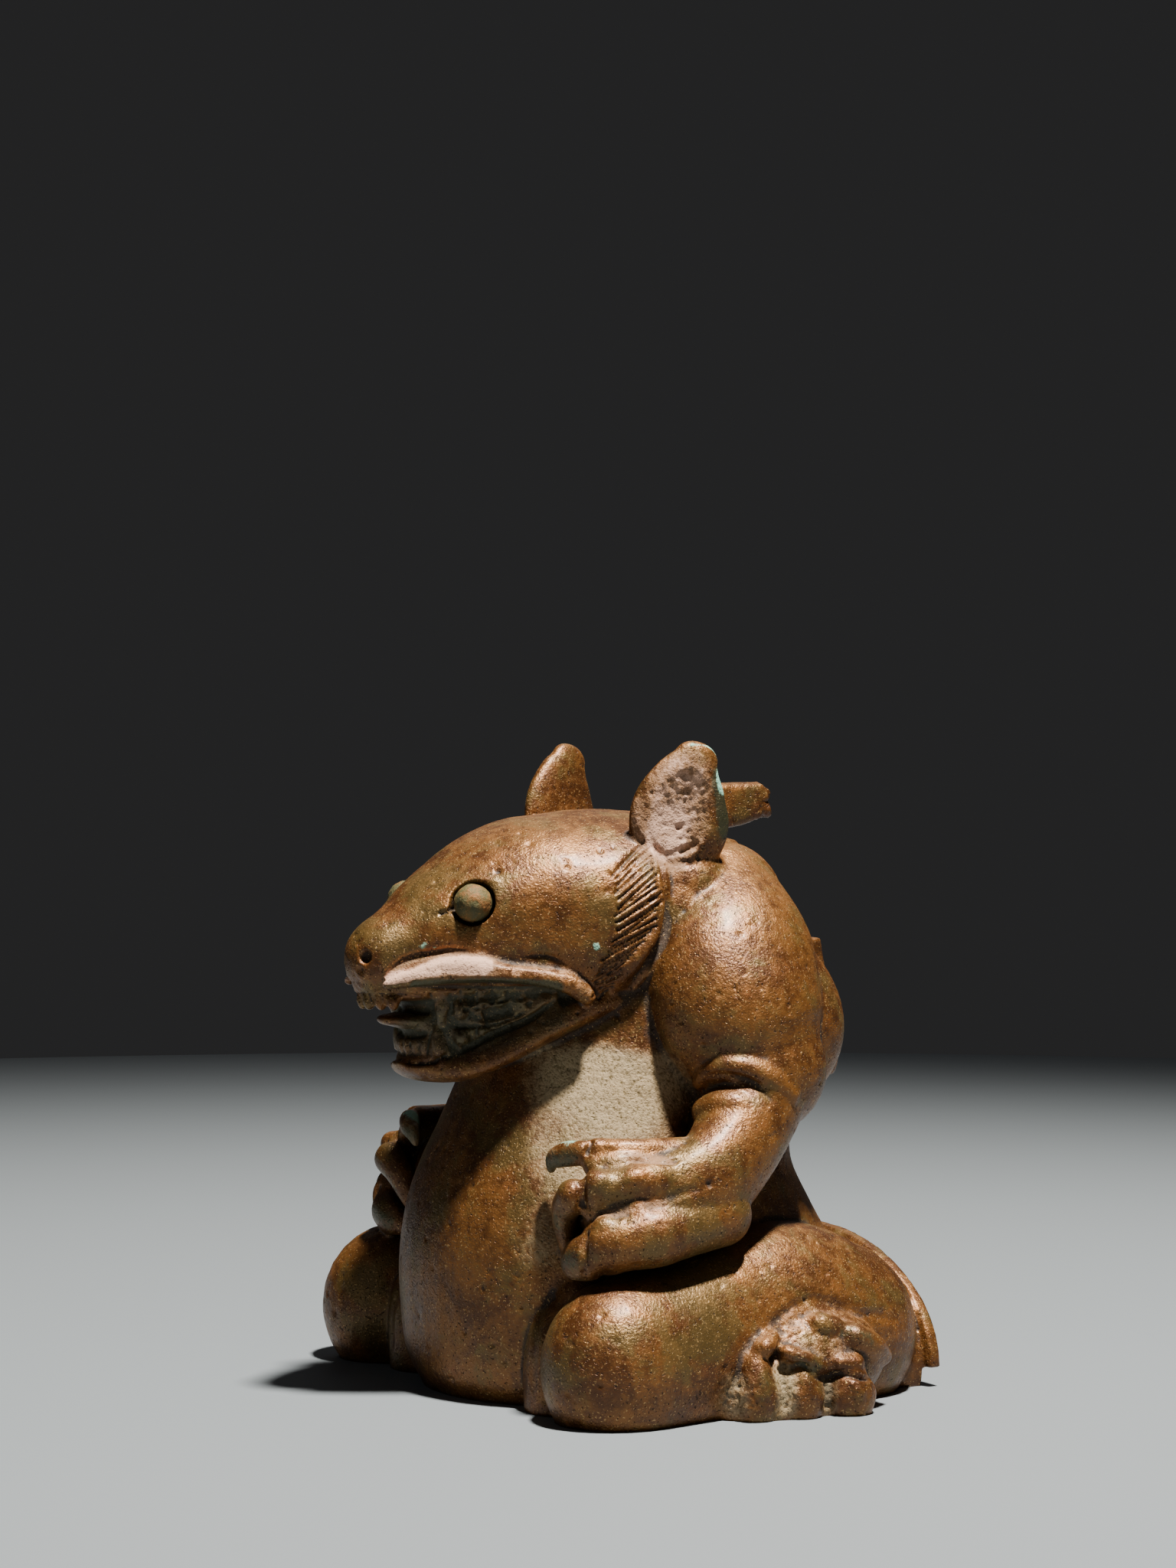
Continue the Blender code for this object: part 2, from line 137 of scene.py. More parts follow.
def closed_skin(clay, rings, first_pole, last_pole, mirrored):
    """Adds one closed body to the clay: rings of points, closed by a pole at each end."""
    for side in (1, -1) if mirrored else (1,):
        flip = Matrix.Diagonal((side, 1, 1))
        loops = [[clay.verts.new(flip @ Vector(p)) for p in ring] for ring in rings]
        faces = []
        for low, high in zip(loops, loops[1:]):
            for i, corner in enumerate(low):
                j = (i + 1) % len(low)
                faces.append(clay.faces.new((corner, low[j], high[j], high[i])))
        for pole, loop in ((first_pole, loops[0]), (last_pole, loops[-1])):
            tip = clay.verts.new(flip @ Vector(pole))
            for i, corner in enumerate(loop):
                faces.append(clay.faces.new((corner, loop[(i + 1) % len(loop)], tip)))
        bmesh.ops.recalc_face_normals(clay, faces=faces)


def level_body(clay, rows, low_pole, high_pole, power):
    """A body of level sections. A row is height, front, back, half-width."""
    rings = [
        section((0, (front + back) / 2, z), (half, 0, 0), (0, (back - front) / 2, 0), power)
        for z, front, back, half in through(rows)
    ]
    closed_skin(clay, rings, low_pole, high_pole, False)


def upright_body(clay, rows, front_pole, back_pole, power, low_power=None):
    """A body of upright sections, from front to back. A row is y, top, bottom, half-width."""
    rings = [
        section((0, y, (top + bottom) / 2), (half, 0, 0), (0, 0, (top - bottom) / 2), power, low_power)
        for y, top, bottom, half in through(rows)
    ]
    closed_skin(clay, rings, front_pole, back_pole, False)


def section(centre, across, along, power=2.0, low_power=None):
    """A ring of points round a centre, through the ends of two half-axes. A power over 2 squares it."""
    ring = []
    for k in range(RING_POINTS):
        turn = 2 * math.pi * k / RING_POINTS
        c, s = math.cos(turn), math.sin(turn)
        squared = low_power if low_power and s < 0 else power
        u = math.copysign(abs(c) ** (2 / squared), c)
        v = math.copysign(abs(s) ** (2 / squared), s)
        ring.append(Vector(centre) + u * Vector(across) + v * Vector(along))
    return ring


def ball(clay, centre, radii, turn=(0, 0, 0), mirrored=False):
    """An ellipsoid, turned by degrees about X, Y and Z in that order."""
    spin = Matrix.Identity(3)
    for axis, degrees in zip("XYZ", turn):
        spin = Matrix.Rotation(math.radians(degrees), 3, axis) @ spin
    rx, ry, rz = radii
    rings = []
    for k in range(1, 2 * DOME_STEPS):
        tilt = math.pi * k / (2 * DOME_STEPS) - math.pi / 2
        flat, rise = math.cos(tilt), math.sin(tilt)
        middle = Vector(centre) + spin @ Vector((0, 0, rz * rise))
        rings.append(section(middle, spin @ Vector((rx * flat, 0, 0)), spin @ Vector((0, ry * flat, 0))))
    top = spin @ Vector((0, 0, rz))
    closed_skin(clay, rings, Vector(centre) - top, Vector(centre) + top, mirrored)


def limb(clay, stations, up=(0, 0, 1), mirrored=True, power=2.0):
    """A limb with rounded ends along a smooth curve. A station is x, y, z, half-width, half-height."""
    rows = through(stations)
    points = [Vector(row[:3]) for row in rows]
    frames = []
    for k in range(len(points)):
        ahead = points[min(k + 1, len(points) - 1)] - points[max(k - 1, 0)]
        ahead.normalize()
        across = ahead.cross(Vector(up)).normalized()
        frames.append((ahead, across, across.cross(ahead)))

    def ring(k, share, shift):
        ahead, across, rise = frames[k]
        wide, high = rows[k][3], rows[k][4]
        centre = points[k] + ahead * shift
        return section(centre, across * wide * share, rise * high * share, power)

    def reach(k):
        return (rows[k][3] + rows[k][4]) / 2

    angles = [math.pi / 2 * k / DOME_STEPS for k in range(1, DOME_STEPS)]
    last = len(rows) - 1
    start = [ring(0, math.cos(a), -reach(0) * math.sin(a)) for a in reversed(angles)]
    middle = [ring(k, 1, 0) for k in range(len(rows))]
    end = [ring(last, math.cos(a), reach(last) * math.sin(a)) for a in angles]
    first_pole = points[0] - frames[0][0] * reach(0)
    last_pole = points[-1] + frames[-1][0] * reach(last)
    closed_skin(clay, start + middle + end, first_pole, last_pole, mirrored)


def torso(clay):
    """The trunk, as level sections: height, front, back, half-width."""
    rows = (
        (-6, -36, 42, 30),
        (0, -41, 44.5, 33.5),
        (6, -44, 44.5, 36.5),
        (14, -45, 43.5, 38.4),
        (24, -45.3, 41, 38.4),
        (34, -44, 35.4, 36.8),
        (43, -41, 31, 34),
        (51, -37.2, 32, 31.5),
        (60, -33.2, 38, 30.5),
        (68, -29.7, 40, 30),
        (77, -26.2, 38.5, 29.5),
        (86, -21, 33.6, 27.5),
        (94, -13, 29.8, 24),
        (101, -4, 24.8, 18.6),
        (105.5, 5, 21.4, 12.4),
    )
    level_body(clay, rows, (0, 0, -8), (0, 14, 107.5), 2.2)


def skull(clay):
    """The head without its lower jaw, as upright sections: y, top, bottom, half-width."""
    rows = (
        (-60.4, 86, 80.8, 3),
        (-59, 88.4, 79.2, 5.2),
        (-56.5, 90.6, 78.2, 7.4),
        (-52, 93.6, 78, 9.2),
        (-47.5, 97.6, 78, 12.6),
        (-42, 101.6, 78, 16.2),
        (-35, 106.2, 77, 20),
        (-27, 109.6, 74.5, 24),
        (-20, 110.6, 72.8, 26.8),
        (-14, 111.4, 73, 28.4),
        (-10, 111.6, 75, 28.7),
        (-7, 111.6, 79, 27.4),
        (-3, 111.4, 84, 23),
        (6, 110.6, 88, 18),
        (14, 108, 92, 13),
    )
    upright_body(clay, rows, (0, -61, 83.4), (0, 18, 100), 2.1, 3.6)


def jaw(clay):
    """The lower jaw, from its chin back to the throat: y, lip, underside, half-width."""
    rows = (
        (-50.8, 64.2, 62.8, 2.4),
        (-49.2, 64.4, 61.2, 5.4),
        (-45.4, 65, 59.8, 9.8),
        (-40, 66.8, 59.8, 14),
        (-34, 71, 62.2, 18.2),
        (-27, 76, 65.8, 21.6),
        (-19, 79, 69.6, 24),
        (-10, 81, 73.5, 24.4),
    )
    upright_body(clay, rows, (0, -51.4, 63.6), (0, -4, 77), 4, 2.2)


def mouth(clay):
    """The raised upper lip, and the gums, teeth and tongue that show between the open jaws."""
    lip = (
        (8.2, -56.8, 78.9, 1, 0.9),
        (11, -52.4, 80.2, 1.6, 1.7),
        (14.4, -46, 81.6, 2.2, 2.5),
        (17, -41, 81.5, 2.2, 2.2),
        (19.4, -36.5, 80.9, 2, 1.7),
        (21.6, -31, 80.2, 2, 1.8),
        (23.6, -26.5, 79, 2.1, 1.9),
        (24.6, -23, 76.6, 1.7, 1.7),
    )
    limb(clay, lip, power=2.6)
    upper_gum = (
        (-59, 81, 78.4, 2.6),
        (-57.4, 81, 76, 4.6),
        (-54.4, 81, 75.4, 7.2),
        (-50, 81, 75.4, 10.8),
        (-42, 81, 75.8, 14.8),
        (-34, 81, 76.2, 18.6),
        (-27, 81, 77, 21.6),
    )
    upright_body(clay, upper_gum, (0, -59.6, 79.8), (0, -24, 78.8), 2.6)
    lower_gum = (
        (-48.6, 66.4, 62, 3),
        (-47, 67.8, 62, 6.4),
        (-43, 68.8, 62, 10.2),
        (-37, 71.8, 64, 14.4),
        (-30, 75.4, 68, 18.4),
        (-25, 78, 72, 21),
    )
    upright_body(clay, lower_gum, (0, -49.2, 64), (0, -22, 75), 2.6)
    throat = (
        (-48, 77.4, 66, 5),
        (-46.4, 78, 65.8, 8.4),
        (-43.4, 79, 65.8, 11.4),
        (-40, 79, 66.4, 13.6),
        (-34, 80, 68, 17.2),
        (-27, 80, 71, 21),
    )
    upright_body(clay, throat, (0, -48.8, 72), (0, -24, 75), 3)
    tongue = ((0, -40, 71.4, 7.4, 2.6), (0, -47, 71.6, 6.6, 2.1), (0, -52.4, 71.8, 3.2, 1.1))
    limb(clay, tongue, mirrored=False)
    teeth(clay)


def teeth(clay):
    """Four canines, and rows of low cheek teeth and front teeth in both jaws."""
    upper = ((9.8, -45.6, 77.4, 1.7, 1.6), (9.9, -46, 74.2, 1.5, 1.4), (9.6, -46, 71.8, 0.8, 0.8))
    lower = ((8.2, -45.2, 65, 1.6, 1.6), (8.2, -46, 68.6, 1.4, 1.3), (7.8, -46, 71.6, 0.7, 0.7))
    for canine in (upper, lower):
        limb(clay, canine, up=(0, 1, 0), power=2.8)
    for k in range(5):
        y = -43.2 + 3.5 * k
        grown = 1 - 0.07 * k
        ball(clay, (11.9 + 1.75 * k, y, 74.4 + 0.35 * k), (1.5, 1.7 * grown, 2.3 * grown), mirrored=True)
        ball(clay, (11.2 + 1.8 * k, y + 0.6, 69.2 + 1.5 * k), (1.5, 1.6 * grown, 2.1 * grown), mirrored=True)
    for k in range(3):
        ball(clay, (1.3 + 2.5 * k, -57.1 + 1.3 * k, 75.6), (1.25, 1.3, 1.9), mirrored=True)
        ball(clay, (1.1 + 2.2 * k, -48.7 + 0.8 * k, 67.2), (1.1, 1.2, 2), mirrored=True)


def ears(clay):
    """Upright leaf-shaped ears, each on a low swelling. Their hollows are cut later."""
    leaf = (
        (21.6, -1.6, 101, 3.4, 7.8),
        (23, -2.2, 106, 3.3, 9.6),
        (23.8, -2.1, 112, 2.9, 9.6),
        (24.6, -0.8, 117.6, 2.5, 7.2),
        (25.2, 0.6, 121.4, 2.1, 4.4),
    )
    limb(clay, leaf, up=(0.29, 0.957, 0))
    ball(clay, (18.2, 1.5, 96.2), (10, 11, 9.2), mirrored=True)


def arms(clay):
    """Upper arm with the flesh of neck, shoulder blade and flank, two skin folds at the elbow, and forearm."""
    upper = (
        (15.8, 11.6, 93.6, 11.8, 12.4),
        (24.4, 8.8, 84.8, 13.8, 16.4),
        (28.2, 6.8, 76, 15.5, 17.6),
        (31, 8.2, 68, 15, 16),
        (33.4, 10, 62.4, 12.4, 12.6),
    )
    limb(clay, upper, up=(0, 1, 0))
    neck_side = (
        (13, 0, 98, 12.4, 9.6),
        (18, -1, 91.4, 11, 9.8),
        (20, -1.8, 83, 10, 9.4),
        (21.6, -1.6, 76, 8, 7.8),
        (23.4, 0.6, 69, 6.4, 6.8),
    )
    limb(clay, neck_side, up=(0, 1, 0))
    blade = (
        (16, 23, 58, 6.4, 8),
        (17.6, 25.6, 67, 9, 9.4),
        (17.2, 25, 76, 8.6, 9),
        (14.4, 21, 84, 7.4, 8),
    )
    limb(clay, blade, up=(0, 1, 0))
    flank = (
        (24, 20, 60, 8, 8),
        (27, 21.5, 68, 9.6, 9.6),
        (25.6, 20.4, 76, 9.4, 9.4),
        (21, 17, 84, 8, 8),
    )
    limb(clay, flank, up=(0, 1, 0))
    fore = (
        (34.2, 7.8, 61.4, 11.8, 11.6),
        (37.2, 4.6, 54.4, 9.8, 9.4),
        (40.6, -1, 48, 8.4, 9),
        (43, -7.4, 43, 7.6, 9.2),
        (43.5, -14, 40, 6.4, 9.2),
    )
    limb(clay, fore)
    upper_fold = (
        (34.4, -4.2, 60.4, 1.6, 1.6),
        (37, -3.4, 62.4, 2.4, 2.4),
        (40, -1.4, 63.6, 2.8, 2.7),
        (42.4, 2.4, 63, 2.8, 2.7),
        (43.8, 6, 61, 2.6, 2.5),
        (44.6, 9.4, 58.2, 1.8, 1.8),
    )
    limb(clay, upper_fold)
    lower_fold = (
        (36.6, -4.2, 55.2, 2.8, 2.8),
        (39.8, -2.8, 56.4, 3.4, 3.2),
        (42.4, 0.2, 56, 3.4, 3.2),
        (44, 4, 53.8, 2.8, 2.6),
    )
    limb(clay, lower_fold)


def paws(clay):
    """Thumb and two fingers, bent at the last knuckle so that their claws meet the belly."""
    thumb = ((41.2, -12, 48.2, 3.2, 3), (40.4, -20.6, 49.1, 2.4, 2.1), (37.2, -28, 49.4, 2.3, 2.1))
    web = (
        (41, -8, 45.2, 5.4, 4.6),
        (41, -17, 45.6, 4.4, 4),
        (39.8, -24.6, 46.2, 3.6, 3.4),
        (38, -28.6, 46.4, 2.6, 2.6),
    )
    between = (
        (40.8, -30, 38.6, 2.8, 2.6),
        (43.6, -25, 39.6, 3, 2.6),
        (45.8, -19, 40.6, 3, 2.6),
        (46.8, -12, 42, 2.8, 2.6),
    )
    second = (
        (44.5, -8, 45, 3.6, 3.4),
        (44.8, -16, 44.3, 3.5, 3.3),
        (44.4, -21.5, 43.6, 4, 3.9),
        (42.8, -27, 42.8, 3.5, 3.5),
        (41.4, -29.6, 42.3, 3.7, 4),
    )
    third = (
        (45, -6, 37, 5.4, 6.2),
        (46, -15, 35, 5.4, 5.6),
        (46, -21, 34, 5.8, 5.9),
        (44.8, -26.5, 33, 5.2, 5.3),
        (43.5, -29.1, 32.4, 5, 5.5),
    )
    thumb_claw = (
        (35.6, -30.2, 48.6, 2.1, 2.4),
        (32, -32, 48, 2, 2.4),
        (29, -32.8, 46.8, 1.4, 1.8),
        (28, -32.6, 44.8, 0.8, 0.8),
    )
    second_claw = (
        (38, -33.4, 41, 3.2, 3.4),
        (34, -33, 38, 2.6, 2.9),
        (31.6, -31.4, 33, 2, 2.2),
        (30, -29.8, 28.6, 1, 1.2),
    )
    third_claw = ((41.4, -32.2, 30.2, 3.4, 4.4), (37.6, -33, 29, 2.6, 3.6), (33.6, -31.6, 27.6, 1.2, 1.8))
    for stations in (thumb, web, between, second, third, thumb_claw, second_claw, third_claw):
        limb(clay, stations)
    ball(clay, (34, -17, 38), (8.6, 13, 9), mirrored=True)


def legs(clay):
    """Thighs folded forwards, wide at the haunch, with the knee in front. The right knee is farther out."""
    leg = (
        (42.5, -26, 9.5, 14, 16.5),
        (41, -16, 10.5, 13.6, 17),
        (39, -4, 12, 13.4, 18.6),
        (36.5, 8, 13, 15.4, 20.4),
        (33.4, 17.4, 12.6, 17.2, 20),
        (30.6, 26, 11, 17.8, 18),
    )
    limb(clay, leg, mirrored=False)
    reach = np.array(RIGHT_KNEE_SHIFT)
    shares = [(leg[-1][1] - row[1]) / (leg[-1][1] - leg[0][1]) for row in leg]
    right_leg = [
        (*(np.array((-x, y, z)) + share * reach), wide, high)
        for share, (x, y, z, wide, high) in zip(shares, leg)
    ]
    limb(clay, right_leg, mirrored=False)
    groin = (
        (28, -27, -8, 9, 9.4),
        (28.4, -27.4, 4, 9.6, 10),
        (28.8, -27.2, 13, 9, 9.6),
        (29.4, -25.4, 19, 7, 7.6),
    )
    limb(clay, groin, up=(0, 1, 0))


def feet(clay):
    """A foot beside each haunch: its three toes point out and down to the floor."""
    ball(clay, (46, 10, 9), (11, 17, 10.5), turn=(0, 0, -14), mirrored=True)
    ball(clay, (50.2, 5, 3), (7.6, 15.5, 9.6), mirrored=True)
    for y, knuckle_z, width, reach in ((-4, 11.6, 3.6, 57.4), (5, 10, 3.8, 58.6), (14.8, 9, 4.6, 59.4)):
        toe = (
            (reach - 6.4, y + 1.2, knuckle_z + 1, width * 0.5, width * 0.6),
            (reach - 3.8, y, knuckle_z - 2, width * 0.8, width * 0.76),
            (reach - 3.1, y, 3.6, width * 1.04, width * 1.12),
            (reach - 4, y, -1.4, width * 0.8, width * 0.9),
        )
        limb(clay, toe, up=(0, 1, 0))
    instep = (
        ((54.6, -2.6, 13.2, 2, 1.7), (53, -0.4, 14.6, 1.8, 1.5)),
        ((55.4, 2, 12, 1.8, 1.5), (56.4, 5, 10.6, 2, 1.6), (56, 8.4, 9, 1.6, 1.4)),
        ((53, 10.6, 16.2, 2.8, 2.4), (53.4, 13, 15.4, 2.8, 2.4)),
        ((55, 16.6, 13.8, 3.2, 2.8), (54.8, 20.4, 12, 3, 2.6), (53, 24.4, 9.4, 2, 2)),
        ((57, 12.2, 9.6, 2, 1.6), (57.4, 15.4, 9.4, 2, 1.7)),
    )
    for stations in instep:
        limb(clay, stations)


def back(clay):
    """On the back: a stump of a plate, a stump of a peg, and a thin rim behind the rump."""
    plate = [
        (z, 20, rear, PLATE_HALF_WIDTH)
        for z, rear in ((58.6, 41), (61, 42), (66, 42.4), (74, 40.6), (80, 39), (86, 37.8))
    ]
    level_body(clay, plate, (0, 28, 58.6), (0, 28, 86), 7)
    peg = (
        (5, PEG_TOP - 0.3, PEG_TOP - 1.2 * PEG_HEIGHT, PEG_WIDTH / 2),
        (PEG_END - 9, PEG_TOP, PEG_TOP - PEG_HEIGHT, PEG_WIDTH / 2),
        (PEG_END - 2.4, PEG_TOP, PEG_TOP - 0.8 * PEG_HEIGHT, PEG_WIDTH / 2),
        (PEG_END, PEG_TOP - 2, PEG_TOP - 0.72 * PEG_HEIGHT, PEG_WIDTH * 0.42),
    )
    middle = PEG_TOP - PEG_HEIGHT / 2
    upright_body(clay, peg, (0, 4, middle), (0, PEG_END + 0.3, middle), 6)
    inner = BACK_PLANE - RIM_THICKNESS
    rings = [
        section((0, y, 4), (RIM_HALF_WIDTH, 0, 0), (0, 0, RIM_HEIGHT))
        for y in (inner, inner + RIM_THICKNESS / 2, BACK_PLANE)
    ]
    closed_skin(clay, rings, (0, inner, 4), (0, BACK_PLANE, 4), False)
    rump = ((14, 0.72), (24, 0.86), (33, 0.92), (40, RIM_SHARE), (inner - 0.3, RIM_SHARE))
    rings = [
        section((0, y, 4), (RIM_HALF_WIDTH * share, 0, 0), (0, 0, RIM_HEIGHT * share)) for y, share in rump
    ]
    closed_skin(clay, rings, (0, 10, 4), (0, inner, 4), False)


def hollows(clay):
    """What is cut away: eye sockets, nostrils and ear cups."""
    away = EYE_DIAMETER / 2 + SOCKET_GAP
    wide = away + EYE_RING_WIDTH
    ball(clay, EYE_CENTRE, (away, wide, wide), turn=EYE_TURN, mirrored=True)
    nostril = NOSTRIL_DIAMETER / 2
    ball(clay, NOSTRIL_CENTRE, (NOSTRIL_DEPTH, nostril, nostril), turn=(0, 0, -60), mirrored=True)
    ball(clay, EAR_CUP_CENTRE, EAR_CUP_RADII, turn=EAR_TURN, mirrored=True)


def slab(clay, low, high):
    """A box between two corners."""
    size = Vector(high) - Vector(low)
    middle = (Vector(high) + Vector(low)) / 2
    bmesh.ops.create_cube(clay, size=1, matrix=Matrix.Translation(middle) @ Matrix.Diagonal((*size, 1)))


def floor_space(clay):
    """The room under the floor, which cuts the underside flat."""
    slab(clay, (-90, -90, -40), (90, 90, 0))


def rim_space(clay):
    """The room under the rim, which ends above the floor."""
    slab(clay, (-70, BACK_PLANE - RIM_THICKNESS - 0.4, -30), (70, BACK_PLANE + 20, RIM_FOOT))


def placed(name, data):
    """A new object in the scene."""
    obj = bpy.data.objects.new(name, data)
    bpy.context.scene.collection.objects.link(obj)
    return obj


def plain_mesh(shape, name):
    """A modelled shape as a mesh of its own."""
    mesh = bpy.data.meshes.new(name)
    shape.to_mesh(mesh)
    shape.free()
    return mesh


def to_metres(mesh):
    """Puts a mesh made in figure units in its place in the scene."""
    mesh.transform(Matrix.Scale(UNIT, 4) @ Matrix.Translation((0, FIGURE_AXIS_Y, 0)))


def clay_object(name, parts):
    """One object made of overlapping closed bodies, in figure units."""
    clay = bmesh.new()
    for part in parts:
        part(clay)
    return placed(name, plain_mesh(clay, name))


def applied(obj, name):
    """The object's shape with its modifiers applied, as a plain mesh."""
    bpy.context.view_layer.update()
    depsgraph = bpy.context.evaluated_depsgraph_get()
    mesh = bpy.data.meshes.new_from_object(obj.evaluated_get(depsgraph), depsgraph=depsgraph)
    mesh.name = name
    return mesh


def one_skin(coarse, fine):
    """All the forms under one skin of small even faces, with the hollows and the floor cut away."""
    bear = clay_object("clay", (torso, skull, jaw, mouth, ears, arms, paws, legs, feet, back))
    cutters = [clay_object(part.__name__, (part,)) for part in (hollows, rim_space, floor_space)]

    def skin(voxel):
        remesh = bear.modifiers.new("one skin", "REMESH")
        remesh.mode = "VOXEL"
        remesh.voxel_size = voxel
        smooth = bear.modifiers.new("soften", "SMOOTH")
        smooth.factor = 0.5
        smooth.iterations = SMOOTH_PASSES

    skin(coarse)
    for cutter in cutters:
        away = bear.modifiers.new(cutter.name, "BOOLEAN")
        away.operation = "DIFFERENCE"
        away.solver = "EXACT"
        away.object = cutter
    skin(fine)
    mesh = applied(bear, "bear skin")
    for obj in (bear, *cutters):
        bpy.data.objects.remove(obj)
    return mesh


